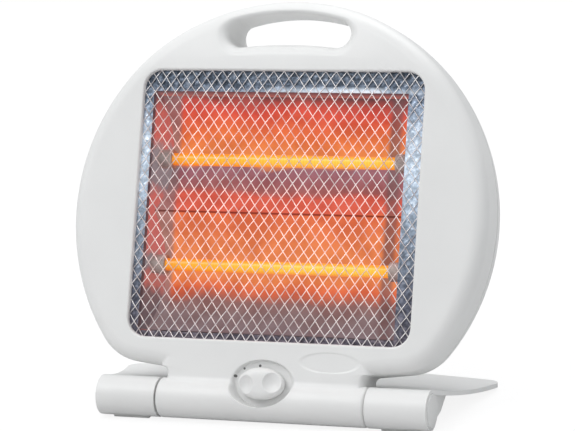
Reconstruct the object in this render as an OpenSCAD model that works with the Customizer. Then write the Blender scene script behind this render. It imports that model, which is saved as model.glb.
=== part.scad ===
// Two-tube halogen heater: a round moulded housing that tilts on a stand.
// Millimetres, +Z up, -Y is the front, the origin is on the floor under the middle of the heater.
// The housing is drawn upright in its own frame: Y = 0 is its front face, Z = 0 the hinge axis.

/* [Housing] */
// Radius of the round housing
body_r = 150; // [146:1:156]
// How far the full circle of the housing would reach below the hinge axis
round_below = 23.5; // [20:0.5:26]
// Radius of the two lower corners
corner_r = 36; // [30:1:42]
// Where the lower corners begin, in degrees below level
corner_start = 36; // [33:1:39]
// Slope of the belly beside the chin, in degrees
belly_slope = 7; // [5:0.5:9]
// Depth of the front cover, up to the parting line
front_depth = 28; // [26:0.5:30]
// Depth of the housing at its deepest
body_depth = 70; // [68:1:78]
// Depth of the housing at the handle
handle_depth = 40; // [38:1:44]
// Depth of the housing at its lower edge
belly_depth = 46; // [44:1:52]
// Width of the rounded band that closes the rear shell
rear_round = 45; // [40:1:50]
// Radius that rounds the front edge
edge_r = 10; // [7:0.5:11]
// How far the face falls back at the very top
crown = 8; // [4:0.5:9]
// Width and depth of the groove where the two covers meet
seam_gap = 0.6; // [0.4:0.1:1]
// Thickness of the moulded walls
wall = 2.4; // [2:0.1:2.8]

/* [Window and handle] */
// Width of the window
window_w = 204; // [198:1:206]
// Height of the window's lower edge over the hinge axis
window_low = 40.6; // [39:0.2:44]
// Distance from the window's upper edge to the housing's top
window_drop = 50.5; // [50:0.5:56]
// Radius of the window's corners
window_r = 13; // [12:0.5:18]
// Half length of the handle slot
slot_half = 44.5; // [40:0.5:48]
// Height of the handle bar over the slot
bar_h = 9.5; // [8:0.5:11]
// Height of the handle slot at its middle
slot_h = 22; // [21:0.5:23]
// Radius of the slot's rolled front edge
lip_r = 8; // [5:0.5:9]
// Radius of the rolled edge under the handle bar
lip_top_r = 4.5; // [3:0.5:5]
// Radius of the slot's rounded ends
slot_end_r = 9.6; // [9.4:0.1:10.4]

/* [Grille] */
// Width of one diamond of the wire mesh
mesh_w = 13.6; // [13.6:0.2:20]
// Height of one diamond of the wire mesh
mesh_h = 18.6; // [18.6:0.2:26]
// Thickness of the mesh wire
mesh_wire = 1; // [0.8:0.1:1.4]
// Thickness of the border wire
border_wire = 3; // [2.4:0.2:3.4]

/* [Reflector and tubes] */
// How far the reflector sits off the middle, which leaves room for leads on the right
fire_shift = -2.8; // [-3.5:0.1:-2]
// Width between the reflector's end plates
fire_w = 185.5; // [180:0.5:187]
// Distance from the window's lower edge up to the pan
pan_up = 4.4; // [3.4:0.1:9]
// Distance from the window's upper edge down to the pan
pan_down = 14.5; // [12:0.5:20]
// Depth of the pan's back edge behind the front face
pan_depth = 32; // [30:0.5:36]
// Thickness of the sheet metal
sheet = 0.8; // [0.6:0.1:1]
// Distance from the upper tube to the pan's upper edge
upper_tube_down = 45.3; // [43:0.1:48]
// Distance from the pan's lower edge to the lower tube
lower_tube_up = 47.6; // [45:0.1:50]
// Depth of the tubes behind the front face
tube_y = 22; // [20:0.5:24]
// Outer radius of the quartz tubes
tube_r = 4.2; // [4:0.1:5]
// Wall of the quartz tubes
tube_wall = 0.8; // [0.6:0.1:1]
// Radius of the heating coil's middle line
coil_r = 2.2; // [1.8:0.1:2.3]
// Thickness of the coil's wire
coil_wire = 0.7; // [0.6:0.1:0.9]
// Turns of each coil
coil_turns = 24; // [20:1:30]
// Depth of the reflector's seam behind the front face
seam_y = 17; // [16:0.5:20]
// Depth of the troughs behind the seam
trough = 28; // [26:0.5:30]

/* [Knob and dish] */
// Height of the knob's axis over the hinge axis
knob_z = 12; // [11.5:0.1:12.5]
// Half width of the dish round the knob
dish_a = 23.5; // [22.5:0.5:25]
// How far the dish's walls flare to the left and right
dish_flare = 3.6; // [2:0.2:4]
// Half height of the dish round the knob
dish_b = 16.5; // [16.5:0.1:17]
// Depth of the dish's floor behind the front face
dish_floor = 3; // [2.5:0.1:3.5]
// Half width of the knob
knob_a = 16.7; // [15:0.1:17]
// Half height of the knob
knob_b = 11; // [10:0.1:12]
// How far the knob stands in front of the front face
knob_proud = 6.5; // [5.5:0.1:8]
// Radius of the switch shaft
shaft_r = 3; // [2.5:0.1:3.2]

/* [Hinge and stand] */
// Lean of the housing at rest, in degrees back from upright
lean = 22; // [20:1:23]
// Radius of the hinge barrel
barrel_r = 13.7; // [13.4:0.1:14]
// Depth of the hinge axis behind the front face
barrel_y = 6; // [5.5:0.1:6.5]
// How far the middle barrel stands out beyond the neck on each side
barrel_over = 3.3; // [2:0.1:4]
// Width of each outer barrel
barrel_side_w = 42.9; // [40:0.1:46]
// Gap between two barrels
barrel_gap = 0.8; // [0.7:0.1:1]
// Radius of the hinge pins
pin_r = 4; // [3.5:0.1:4.5]
// Width of the neck between housing and barrel
neck_w = 143; // [140:1:144]
// Depth of the stand from the hinge axis to its rear edge
plate_depth = 110; // [106:1:116]
// Half width of the stand at its rear edge
plate_half = 138; // [134:1:142]
// Thickness of the stand's plate
plate_t = 3.2; // [2.8:0.1:3.6]
// Height of the plate's rear edge over the floor
plate_tail = 4; // [4:0.1:5]
// Depth of the notch behind the middle barrel
notch_y = 31.5; // [31:0.5:34]
// Gap between floor and barrel, filled by the rubber pads
pad_h = 0.8; // [0.6:0.1:1.2]

/* [Fasteners and inlet] */
// Radius of the mains cord's hole in its grommet
cord_r = 3.6; // [3:0.1:4]
// Radius of a screw's shank
screw_r = 1.5; // [1.4:0.05:1.7]
// Radius of a screw's head
screw_head_r = 3.2; // [3:0.1:3.4]
// Radius of the screw bosses
boss_r = 4.6; // [4.4:0.1:5]

/* [Hidden] */
$fn = 64;

seat = 0.2;             // gap between pieces that sit on each other
run_fit = 0.05;         // radial gap of a pin that turns in its hole
axle_h = barrel_r + pad_h;
body_rise = body_r - round_below;
body_top = body_rise + body_r;
window_high = body_top - window_drop;
pan_low = window_low + pan_up;
pan_high = window_high - pan_down;
upper_tube_z = pan_high - upper_tube_down;
lower_tube_z = pan_low + lower_tube_up;
barrel_mid_w = neck_w + 2 * barrel_over;
barrel_all_w = barrel_mid_w + 2 * (barrel_gap + barrel_side_w);
crown_z = window_high - 4;
deep_z = body_rise - 6.5;
right_x = [1, 0];
corner_c = [(body_r - corner_r) * cos(corner_start),
            body_rise - (body_r - corner_r) * sin(corner_start)];

// Where the whole heater stands: half way between its front and its rear, as a box
front_y = -barrel_r;
rear_y = (body_top - 12) * sin(lean) + (handle_depth - barrel_y) * cos(lean);
shift_y = -(front_y + rear_y) / 2;

// ---- outlines of the housing, as points in X and Z ----
function arc(c, r, a0, a1, n) =
    [for (i = [0:n]) let (a = a0 + (a1 - a0) * i / n) [c[0] + r * cos(a), c[1] + r * sin(a)]];
function mirrored(p) = [for (i = [len(p) - 1:-1:0]) [-p[i][0], p[i][1]]];
function slice(p, a, b) = [for (i = [a:b]) p[i]];

// Right half of the outline, drawn in by d: belly, lower corner, then the round up to the top
function belly_end(d) = [corner_c[0] + (corner_r - d) * sin(belly_slope),
                         corner_c[1] - (corner_r - d) * cos(belly_slope)];
function half_outline(d) = concat(
    [[60, belly_end(d)[1] - (belly_end(d)[0] - 60) * tan(belly_slope)]],
    arc(corner_c, corner_r - d, belly_slope - 90, -corner_start, 5),
    slice(arc([0, body_rise], body_r - d, -corner_start, 90, 24), 1, 24));
function outline(d) = let (h = half_outline(d), n = len(h))
    concat(h, slice(mirrored(h), 1, n - 1));

// The face falls back towards the top, and the back is deepest at mid height
function fall(z) = z <= crown_z ? 0 : crown * pow((z - crown_z) / (body_top - crown_z), 2);
function back_y(z) = z > deep_z
    ? body_depth - (body_depth - handle_depth) * pow((z - deep_z) / (body_top - deep_z), 2)
    : body_depth - (body_depth - belly_depth) * pow((deep_z - z) / deep_z, 2);

// The outline drawn in by d and then shrunk by k towards the housing's centre
function shrunk(d, k) = [for (p = outline(d)) [p[0] * k, body_rise + (p[1] - body_rise) * k]];
function flat_ring(y, d) = [for (p = outline(d)) [p[0], y, p[1]]];
function face_ring(y, d) = [for (p = outline(d)) [p[0], y + fall(p[1]), p[1]]];
function dome_ring(t, d, k, in) =
    [for (p = shrunk(d, k)) [p[0], front_depth + (back_y(p[1]) - in - front_depth) * t, p[1]]];

// A closed skin over outline rings. The last ring is capped by level strips from side to side,
// which lie flat because depth depends on height alone
module shell(rings) {
    n = len(rings[0]);
    m = len(rings);
    half = (n + 1) / 2;
    e = (m - 1) * n;
    polyhedron(
        points = [for (ring = rings) each ring],
        faces = concat(
            [[for (i = [0:n - 1]) i]],
            [for (j = [0:m - 2], i = [0:n - 1]) let (k = (i + 1) % n)
                each [[j * n + i, (j + 1) * n + i, (j + 1) * n + k],
                      [j * n + i, (j + 1) * n + k, j * n + k]]],
            [for (i = [0:half - 2]) i == half - 2
                ? [e + half, e + half - 1, e + half - 2]
                : [e + n - 1 - i, e + n - 2 - i, e + i + 1, e + i]]),
        convexity = 6);
}
// A closed skin over rings of equally many points
module loft(rings) {
    n = len(rings[0]);
    m = len(rings);
    polyhedron(
        points = [for (ring = rings) each ring],
        faces = concat(
            [[for (i = [0:n - 1]) i]],
            [for (j = [0:m - 2], i = [0:n - 1]) let (k = (i + 1) % n)
                each [[j * n + i, (j + 1) * n + i, (j + 1) * n + k],
                      [j * n + i, (j + 1) * n + k, j * n + k]]],
            [[for (i = [n - 1:-1:0]) (m - 1) * n + i]]),
        convexity = 6);
}

// A prism along Y over an outline in X and Z
module along_y(y0, y1) {
    translate([0, y1, 0]) rotate([90, 0, 0]) linear_extrude(y1 - y0) children();
}
// A prism along X over an outline in Y and Z
module along_x(x0, x1) {
    translate([x0, 0, 0]) rotate([90, 0, 90]) linear_extrude(x1 - x0) children();
}
module rod_y(x, z, r, y0, y1, fine = 32) {
    translate([x, y1, z]) rotate([90, 0, 0]) cylinder(r = r, h = y1 - y0, $fn = fine);
}
module rod_x(y, z, r, x0, x1, fine = 64) {
    translate([x0, y, z]) rotate([0, 90, 0]) cylinder(r = r, h = x1 - x0, $fn = fine);
}
// Rectangle from corner to corner, with round corners that stay true arcs
module rounded(x0, z0, x1, z1, r) {
    translate([x0 + r, z0]) square([x1 - x0 - 2 * r, z1 - z0]);
    translate([x0, z0 + r]) square([x1 - x0, z1 - z0 - 2 * r]);
    for (x = [x0 + r, x1 - r], z = [z0 + r, z1 - r]) translate([x, z]) circle(r, $fn = 40);
}
module window(grow) {
    rounded(-window_w / 2 - grow, window_low - grow, window_w / 2 + grow, window_high + grow,
            window_r + grow);
}
module oval(a, b) {
    polygon([for (i = [0:39]) [a * cos(i * 9), b * sin(i * 9)]]);
}

// ---- handle slot: a bean between two arcs with round ends, grown by g ----
slot_top_r = body_r - bar_h;
slot_mid_z = body_top - bar_h - slot_h;
slot_x = slot_half - slot_end_r;
slot_z = body_rise + sqrt(pow(slot_top_r - slot_end_r, 2) - slot_x * slot_x);
slot_dip = slot_z - slot_mid_z;
slot_low_r = (slot_x * slot_x + slot_dip * slot_dip - slot_end_r * slot_end_r)
    / (2 * (slot_end_r - slot_dip));
function slot_points(g) = let (
        low = [0, slot_mid_z - slot_low_r],
        at = atan2(slot_z - body_rise, slot_x),
        al = atan2(slot_z - low[1], slot_x),
        top = arc([0, body_rise], slot_top_r + g, at, 180 - at, 15),
        left = arc([-slot_x, slot_z], slot_end_r + g, 180 - at, 360 - al, 8),
        base = arc(low, slot_low_r - g, 180 - al, al, 9),
        right = arc([slot_x, slot_z], slot_end_r + g, 180 + al, 360 + at, 8))
    concat(top, slice(left, 1, 8), slice(base, 1, 9), slice(right, 1, 7));
module slot(g) {
    polygon(slot_points(g));
}

// ---- places of the fasteners ----
body_screws = [for (p = [[body_r - 28, body_rise + 63.5], [body_r - 32, body_rise - 66.5],
                         [62, body_top - 36.5]], s = [-1, 1]) [s * p[0], p[1]]];
pan_ears = [for (s = [-1, 1]) each [[s, pan_low + 30], [s, pan_high - 21.5]]];
ear_x = window_w / 2 + 9;
ear_y = 14;

// ---- stand and head frames ----
module on_stand() {
    translate([0, shift_y, axle_h]) children();
}
module on_head() {
    on_stand() rotate([-lean, 0, 0]) translate([0, -barrel_y, 0]) children();
}

// ================= housing =================
// Side view of the chin: its front wall runs into the barrel with a hollow curve
fillet_r = 5;
module chin_profile() {
    fz = sqrt(pow(barrel_r + fillet_r, 2) - pow(barrel_y + fillet_r, 2));
    turn = atan2(fz, barrel_y + fillet_r);
    polygon(concat([[front_depth, 0], [front_depth, 31], [0, 31]],
                   arc([-fillet_r, fz - 0.1], fillet_r, 0, -turn - 6, 6),
                   [[barrel_y - 6, 0]]));
}
module chin() {
    along_x(-neck_w / 2, neck_w / 2) chin_profile();
    rod_x(barrel_y, 0, barrel_r, -barrel_mid_w / 2, barrel_mid_w / 2, 48);
}
module front_skin() {
    steps = 5;
    shell(concat(
        [flat_ring(front_depth, seam_gap), flat_ring(front_depth - seam_gap, seam_gap),
         flat_ring(front_depth - 1.5 * seam_gap, 0)],
        [for (i = [0:steps]) let (a = 90 * i / steps)
            face_ring(edge_r * (1 - sin(a)), edge_r * (1 - cos(a)))]));
}
module front_space() {
    steps = 2;
    r = edge_r - wall;
    shell(concat(
        [flat_ring(front_depth + 1, wall)],
        [for (i = [0:steps]) let (a = 90 * i / steps)
            face_ring(wall + r * (1 - sin(a)), wall + r * (1 - cos(a)))]));
}
// What stands inside the front cover's hollow: slot wall, screw bosses and the dish's back
module front_columns() {
    along_y(-1, front_depth + 2) slot(wall);
    along_y(-1, 2 * wall + fall(slot_mid_z)) slot(lip_r * 0.6);
    for (p = body_screws) rod_y(p[0], p[1], boss_r, 0, front_depth + 2, 16);
    for (p = pan_ears) rod_y(p[0] * ear_x, p[1], 3.5, 0, ear_y - seat, 16);
    translate([0, 0, knob_z]) along_y(-20, dish_floor + wall) oval(dish_a + wall, dish_b + wall);
}
// The moulding is free-form, so it is one mesh; what turns in it runs in bushes of its own
bush_r = 8;
module front_housing() {
    color("whitesmoke") on_head() front_moulding();
}
module front_moulding() {
    resize([0, 0, 0]) difference() {
        union() {
            front_skin();
            chin();
        }
        difference() {
            union() {
                front_space();
                translate([-neck_w / 2 + wall, wall, wall])
                    cube([neck_w - 2 * wall, front_depth - 2 * wall, 30]);
                rod_x(barrel_y, 0, barrel_r - wall, 4 - barrel_mid_w / 2, barrel_mid_w / 2 - 4, 24);
            }
            front_columns();
        }
        along_y(-5, front_depth) window(0);
        along_y(-5, front_depth + 1) slot(0);
        slot_lip();
        dish();
        badge();
        for (p = body_screws) rod_y(p[0], p[1], screw_r, wall + 4, front_depth + 3, 14);
        for (p = pan_ears) rod_y(p[0] * ear_x, p[1], screw_r - 0.3, wall + 1, ear_y + 1, 14);
        rod_y(0, knob_z, shaft_r + 0.6, -1, dish_floor + wall + 1, 24);
        rod_x(barrel_y, 0, bush_r + 0.1, -barrel_mid_w / 2 - 1, barrel_mid_w / 2 + 1, 32);
    }
}
module hinge_bushes() {
    color("gray") on_head() for (s = [0, 1]) mirror([s, 0, 0]) difference() {
        rod_x(barrel_y, 0, bush_r - 0.1, barrel_mid_w / 2 - 9, barrel_mid_w / 2);
        rod_x(barrel_y, 0, pin_r + run_fit, barrel_mid_w / 2 - 10, barrel_mid_w / 2 + 1);
    }
}
// The slot's front edge rolls inwards, less so under the handle bar
module slot_lip() {
    edge = slot_points(0);
    out = slot_points(1) - edge;
    reach = [for (n = out) lip_r - (lip_r - lip_top_r) * max(0, n[1])];
    loft([for (a = [78, 60, 42, 24, 0, -90]) [for (i = [0:len(edge) - 1])
        let (g = a < 0 ? reach[i] : reach[i] * (1 - sin(a)), p = edge[i] + out[i] * g)
        [p[0], a < 0 ? -3 : fall(p[1]) - 0.1 + reach[i] * (1 - cos(a)), p[1]]]]);
}
function dish_ring(y, a, b) = [for (i = [0:39]) [a * cos(i * 9), y, knob_z + b * sin(i * 9)]];
// The dish has a flat floor, walls that flare to both sides and steep ones above and below
module dish() {
    loft([dish_ring(dish_floor, dish_a - dish_flare, dish_b - 0.4),
          dish_ring(dish_floor * 0.45, dish_a - dish_flare * 0.35, dish_b - 0.2),
          dish_ring(0, dish_a, dish_b), dish_ring(-20, dish_a + 0.6, dish_b + 0.6)]);
}
// Shallow bare oval beside the knob
module badge() {
    translate([47, 0, 28]) along_y(-1, 0.5) oval(22.5, 7.4);
}

module rear_skin(d, in, start) {
    shell([for (ring = concat(start, [for (t = [18:18:90])
        dome_ring(sin(t), d, 1 - rear_round / body_r * (1 - cos(t)), in)])) reversed(ring)]);
}
vent_rows = [lower_tube_z - 16.6, lower_tube_z - 0.6, upper_tube_z + 1.8, upper_tube_z + 17.8];
vent_w = 40;
module vents() {
    along_y(45, body_depth + 5)
        for (z = vent_rows, i = [-1:1])
            translate([i * 52 - vent_w / 2, z - 1.6]) square([vent_w, 3.2]);
}
inlet = [-70, 47];
inlet_y = 64.5;
inlet_boss_r = 11;
module rear_housing() {
    color("gainsboro") on_head() rear_moulding();
}
module rear_moulding() {
    resize([0, 0, 0]) difference() {
        union() {
            rear_skin(0, 0, [flat_ring(front_depth, 0)]);
            rod_y(inlet[0], inlet[1], inlet_boss_r, front_depth + 6, inlet_y, 36);
        }
        difference() {
            rear_skin(wall, wall, [flat_ring(front_depth - 1, wall), flat_ring(front_depth + 1, wall)]);
            along_y(front_depth - 2, body_depth) slot(wall);
            for (p = body_screws) rod_y(p[0], p[1], boss_r, front_depth - 2, body_depth, 18);
        }
        along_y(front_depth - 1, body_depth + 5) slot(0);
        vents();
        for (p = body_screws) {
            rod_y(p[0], p[1], screw_r + 0.3, front_depth - 1, body_depth, 14);
            rod_y(p[0], p[1], screw_head_r + 0.4, front_depth + 4, body_depth + 5, 14);
        }
        rod_y(inlet[0], inlet[1], 5.5, front_depth + 1, body_depth, 24);
    }
}

// ================= grille and fire =================
grille_y = wall + seat;
module grille() {
    slope = atan2(mesh_h, mesh_w);
    span = (window_w + window_high - window_low) * 1.2;
    pitch = mesh_w * sin(slope);
    count = ceil(span / pitch / 2);
    color("silver") on_head() {
        along_y(grille_y, grille_y + mesh_wire) {
            intersection() {
                window(1);
                translate([0, (window_low + window_high) / 2])
                    for (side = [-1, 1], i = [-count:count])
                        rotate(side * slope) translate([-span / 2, i * pitch - mesh_wire / 2])
                            square([span, mesh_wire]);
            }
            difference() {
                window(border_wire);
                window(0.2);
            }
        }
    }
}

frame_y = grille_y + mesh_wire + seat;
fire_x0 = fire_shift - fire_w / 2;
fire_x1 = fire_shift + fire_w / 2;
module pan_outline(grow) {
    translate([fire_x0 - grow, pan_low - grow])
        square([fire_w + 2 * grow, pan_high - pan_low + 2 * grow]);
}
module reflector_frame() {
    color("lightsteelblue") on_head() difference() {
        union() {
            along_y(frame_y, frame_y + sheet) window(border_wire + 1);
            along_y(frame_y, pan_depth) pan_outline(sheet);
            for (p = pan_ears)
                translate([0, ear_y, p[1] - 5]) mirror([p[0] < 0 ? 1 : 0, 0, 0])
                    cube([ear_x + 4, sheet, 10]);
        }
        along_y(frame_y - 1, pan_depth + 1) pan_outline(0);
        for (z = [lower_tube_z, upper_tube_z])
            rod_x(tube_y, z, cap_r + seat, fire_x0 - 2, fire_x1 + 2);
        for (p = pan_ears) rod_y(p[0] * ear_x, p[1], screw_r + 0.2, ear_y - 1, ear_y + 2);
    }
}

// Depth of the reflecting face at height z: two troughs that meet at the seam
seam_z = (lower_tube_z + upper_tube_z) / 2 + 0.1;
trough_low = pan_low + 1.5;
trough_high = pan_high - 1.5;
function bowl(u) = trough * (1 - u * u);
function trough_y(z) = z < seam_z
    ? seam_y + bowl((z - (trough_low + seam_z) / 2) / ((seam_z - trough_low) / 2))
    : seam_y + bowl((z - (trough_high + seam_z) / 2) / ((trough_high - seam_z) / 2));
function trough_line(lift) = [for (i = [0:32])
    let (z = trough_low + (trough_high - trough_low) * i / 32) [trough_y(z) + lift, z]];
function reversed(p) = [for (i = [len(p) - 1:-1:0]) p[i]];
module reflector() {
    color("orange") on_head() along_x(fire_x0 + seat + sheet, fire_x1 - seat - sheet)
        polygon(concat(trough_line(0), reversed(trough_line(sheet + 0.2))));
}
module end_plate(x) {
    along_x(x, x + sheet) difference() {
        translate([frame_y + sheet + 4, trough_low])
            square([seam_y + trough - frame_y - 3, trough_high - trough_low]);
        for (z = [lower_tube_z, upper_tube_z]) translate([tube_y, z]) circle(cap_r + seat);
    }
}
cap_r = 6.6;
cap_in = 11;
cap_out = 9;
module end_plate_left() {
    color("dimgray") on_head() end_plate(fire_x0 + seat / 2);
}
module end_plate_right() {
    color("dimgray") on_head() end_plate(fire_x1 - sheet - seat / 2);
}
// A ceramic end: a stepped cylinder with a socket for the tube
module tube_cap(z, x, s) {
    difference() {
        union() {
            rod_x(tube_y, z, cap_r, min(x - s * cap_in, x + s * cap_out), max(x - s * cap_in, x + s * cap_out));
            rod_x(tube_y, z, cap_r + 2.4, min(x + s * 3, x + s * 6), max(x + s * 3, x + s * 6));
        }
        rod_x(tube_y, z, tube_r + run_fit, min(x - s * (cap_in + 1), x), max(x - s * (cap_in + 1), x));
        rod_x(tube_y, z, 1, min(x - 20, x + 20), max(x - 20, x + 20));
    }
}
module tube_caps_left() {
    color("ivory") on_head() for (z = [lower_tube_z, upper_tube_z]) tube_cap(z, fire_x0, -1);
}
module tube_caps_right() {
    color("ivory") on_head() for (z = [lower_tube_z, upper_tube_z]) tube_cap(z, fire_x1, 1);
}
// Strip outside the pan that carries both ceramic ends
module bracket(s, x) {
    x0 = x + s * 6.2;
    difference() {
        union() {
            translate([min(x0, x0 + s * 1.2), tube_y - 11, lower_tube_z - 11])
                cube([1.2, 24, upper_tube_z - lower_tube_z + 25]);
            for (z = [lower_tube_z + 28, upper_tube_z - 28])
                translate([min(x + s * (sheet + seat), x0 + s * 1.2), tube_y + 3, z - 6])
                    cube([6.2 + 1.2 - sheet - seat, 1.2, 12]);
        }
        for (z = [lower_tube_z, upper_tube_z]) rod_x(tube_y, z, cap_r + 0.1, x0 - 4, x0 + 4);
    }
}
module bracket_left() {
    color("gray") on_head() bracket(-1, fire_x0);
}
module bracket_right() {
    color("gray") on_head() bracket(1, fire_x1);
}
module quartz(z) {
    difference() {
        rod_x(tube_y, z, tube_r, fire_x0 + seat, fire_x1 - seat);
        rod_x(tube_y, z, tube_r - tube_wall, fire_x0 - 1, fire_x1 + 1);
    }
}
module upper_tube() {
    color("gold") on_head() quartz(upper_tube_z);
}
module lower_tube() {
    color("gold") on_head() quartz(lower_tube_z);
}

// Heating coil: one unbroken tube round a helix whose radius grows from nothing and shrinks again
coil_x0 = fire_x0 + cap_in + 2;
coil_x1 = fire_x1 - cap_in - 2;
coil_rings = 8;
coil_sides = 6;
function swell(t) = let (u = min(t, 1 - t) * coil_turns) u >= 1 ? 1 : u * u * (3 - 2 * u);
function coil_point(t) = let (a = 360 * coil_turns * t, r = coil_r * swell(t))
    [coil_x0 + (coil_x1 - coil_x0) * t, r * cos(a), r * sin(a)];
function coil_path() = concat(
    [[coil_x0 - 2, 0, 0], [coil_x0 - 1, 0, 0]],
    [for (i = [0:coil_turns * coil_rings]) coil_point(i / (coil_turns * coil_rings))],
    [[coil_x1 + 1, 0, 0], [coil_x1 + 2, 0, 0]]);
function unit(v) = v / norm(v);
function heading(p, i) = unit(p[min(i + 1, len(p) - 1)] - p[max(i - 1, 0)]);
function coil_ring(p, i, last) = let (
        t = i == 0 || i == last ? [1, 0, 0] : heading(p, i),
        side = unit(cross(t, [0, 0, 1])),
        up = cross(side, t))
    [for (k = [0:coil_sides - 1]) let (a = 360 * k / coil_sides)
        p[i] + coil_wire / 2 * (cos(a) * side + sin(a) * up)];
coil_line = coil_path();
module coil(z) {
    translate([0, tube_y, z])
        loft([for (i = [0:len(coil_line) - 1]) coil_ring(coil_line, i, len(coil_line) - 1)]);
}
// Least gap of the coil to itself, measured on points a half turn or more apart
coil_gap = min([for (i = [0:4:len(coil_line) - 1], j = [i + coil_rings - 2:1:i + 2 * coil_rings])
    if (j < len(coil_line)) norm(coil_line[i] - coil_line[j])]) - coil_wire;
echo(coil_gap = coil_gap);
module upper_coil() {
    color("orangered") on_head() coil(upper_tube_z);
}
module lower_coil() {
    color("orangered") on_head() coil(lower_tube_z);
}
module lead_pins() {
    color("silver") on_head() for (z = [lower_tube_z, upper_tube_z]) {
        rod_x(tube_y, z, 0.9, fire_x0 - cap_out - 4, coil_x0 - 2 - seat / 2);
        rod_x(tube_y, z, 0.9, coil_x1 + 2 + seat / 2, fire_x1 + cap_out + 4);
    }
}
shield_y = seam_y + trough + 4;
module heat_shield() {
    color("lightgray") on_head() difference() {
        along_y(pan_depth + seat, shield_y + sheet) pan_outline(sheet);
        along_y(pan_depth - 1, shield_y) pan_outline(0);
    }
}
module thermal_cutout() {
    color("black") on_head() {
        rod_y(-50, upper_tube_z + 9.8, 8, shield_y + sheet + seat, shield_y + sheet + 6);
        translate([-64, shield_y + sheet + seat, upper_tube_z + 6.8]) cube([28, 1.2, 6]);
    }
}

// ================= switch and knob =================
switch_y = dish_floor + wall + seat;
module rotary_switch() {
    color("dimgray") on_head() difference() {
        union() {
            translate([-13, switch_y, knob_z - 9]) cube([26, 14, 18]);
            for (x = [-8, 0, 8]) translate([x - 1.5, switch_y + 14, knob_z - 3]) cube([3, 4, 0.8]);
        }
        rod_y(0, knob_z, shaft_r + run_fit, switch_y - 1, switch_y + 10);
    }
}
module switch_shaft() {
    color("silver") on_head() rod_y(0, knob_z, shaft_r, -knob_proud + 4.2, switch_y + 9);
}
function oval_ring(y, s) =
    [for (i = [0:47]) [knob_a * s * cos(i * 7.5), y, knob_b * s * sin(i * 7.5)]];
knob_back = dish_floor - 0.8;
scoop_r = 9;
module knob() {
    color("white") on_head() translate([0, 0, knob_z]) difference() {
        loft([oval_ring(knob_back, 1), oval_ring(-knob_proud + 5, 1),
              oval_ring(-knob_proud + 2.4, 0.955), oval_ring(-knob_proud + 0.8, 0.86),
              oval_ring(-knob_proud + 0.1, 0.7), oval_ring(-knob_proud, 0.5)]);
        for (s = [-1, 1]) translate([s * 9.6, -knob_proud - 5.2, 0]) sphere(scoop_r);
        rod_y(0, 0, shaft_r, -knob_proud + 4, knob_back + 1);
    }
}

// ================= tip-over switch =================
tip = [body_r - 28, 22, body_rise + 19.5];
tip_arm = 24;
module tip_switch_case() {
    color("dimgray") on_head() difference() {
        translate([tip[0] - 12, wall + seat, tip[2] - 46]) cube([24, 44, 54]);
        translate([tip[0] - 10, wall + seat + 3, tip[2] - 44]) cube([20, 42, 50]);
        rod_x(tip[1], tip[2], 1.5 + run_fit, tip[0] - 11, tip[0] + 11);
    }
}
module tip_weight() {
    color("silver") on_head() translate([tip[0], tip[1], tip[2]]) rotate([lean, 0, 0]) {
        rod_x(0, 0, 1.5, -11, 11);
        translate([-1.5, -1.5, -tip_arm]) cube([3, 3, tip_arm]);
        rod_x(0, -tip_arm, 6.5, -7, 7);
    }
}

// ================= inlet and fasteners =================
module terminal_block() {
    color("ivory") on_head() difference() {
        translate([-52, front_depth - wall - 8.4, wall + seat]) cube([26, 8.2, 10]);
        for (x = [-46, -39, -32]) rod_y(x, wall + 6, 1.6, front_depth - 12, front_depth);
    }
}
module cord_grommet() {
    color("black") on_head() difference() {
        union() {
            rod_y(inlet[0], inlet[1], 5.4, inlet_y - 6, inlet_y + 3);
            rod_y(inlet[0], inlet[1], 8, inlet_y + seat, inlet_y + 3);
        }
        rod_y(inlet[0], inlet[1], cord_r, inlet_y - 20, inlet_y + 10);
    }
}
module screw(x, z, y_tip, y_head, r, head) {
    rod_y(x, z, r, y_tip, y_head);
    difference() {
        rod_y(x, z, head, y_head, y_head + 2);
        for (a = [0, 90]) translate([x, y_head + 2, z]) rotate([0, a, 0])
            cube([head * 1.3, 1.6, 0.8], center = true);
    }
}
module housing_screws() {
    color("silver") on_head() for (p = body_screws)
        screw(p[0], p[1], front_depth - 14, front_depth + 4 + seat, screw_r - run_fit, screw_head_r);
}
module pan_screws() {
    color("silver") on_head() for (p = pan_ears)
        screw(p[0] * ear_x, p[1], wall + 2, ear_y + sheet + seat / 2, screw_r - 0.35, 2.6);
}

// ================= stand =================
barrel_x0 = barrel_mid_w / 2 + barrel_gap;
barrel_x1 = barrel_all_w / 2;
cap_t = 3;
function plate_z(y) = plate_tail - axle_h
    + (axle_h + barrel_r * 0.935 - plate_tail) * pow((plate_depth - y) / (plate_depth - 4.9), 1.7);
plate_steps = 20;
function plate_line(drop, y0) = [for (i = [0:plate_steps])
    let (y = y0 + (plate_depth - y0) * i / plate_steps)
    [y, max(plate_z(y) - drop, pad_h + 0.4 - axle_h)]];
module plate_profile() {
    polygon(concat(plate_line(0, 4.9), reversed(plate_line(plate_t, 4.9))));
}
// Cross-section of an outer barrel with the web that carries the plate
web_r = 15.3;
module knuckle_profile() {
    circle(barrel_r);
    difference() {
        polygon(concat([[0, 4 - barrel_r], [20, -barrel_r * 0.5]],
                       reversed([for (p = plate_line(0.4, 4.9)) if (p[0] < 40) p])));
        translate([36.5, -16.5]) circle(web_r);
    }
}
rear_curve_r = 640;
tip_r = 9;
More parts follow.
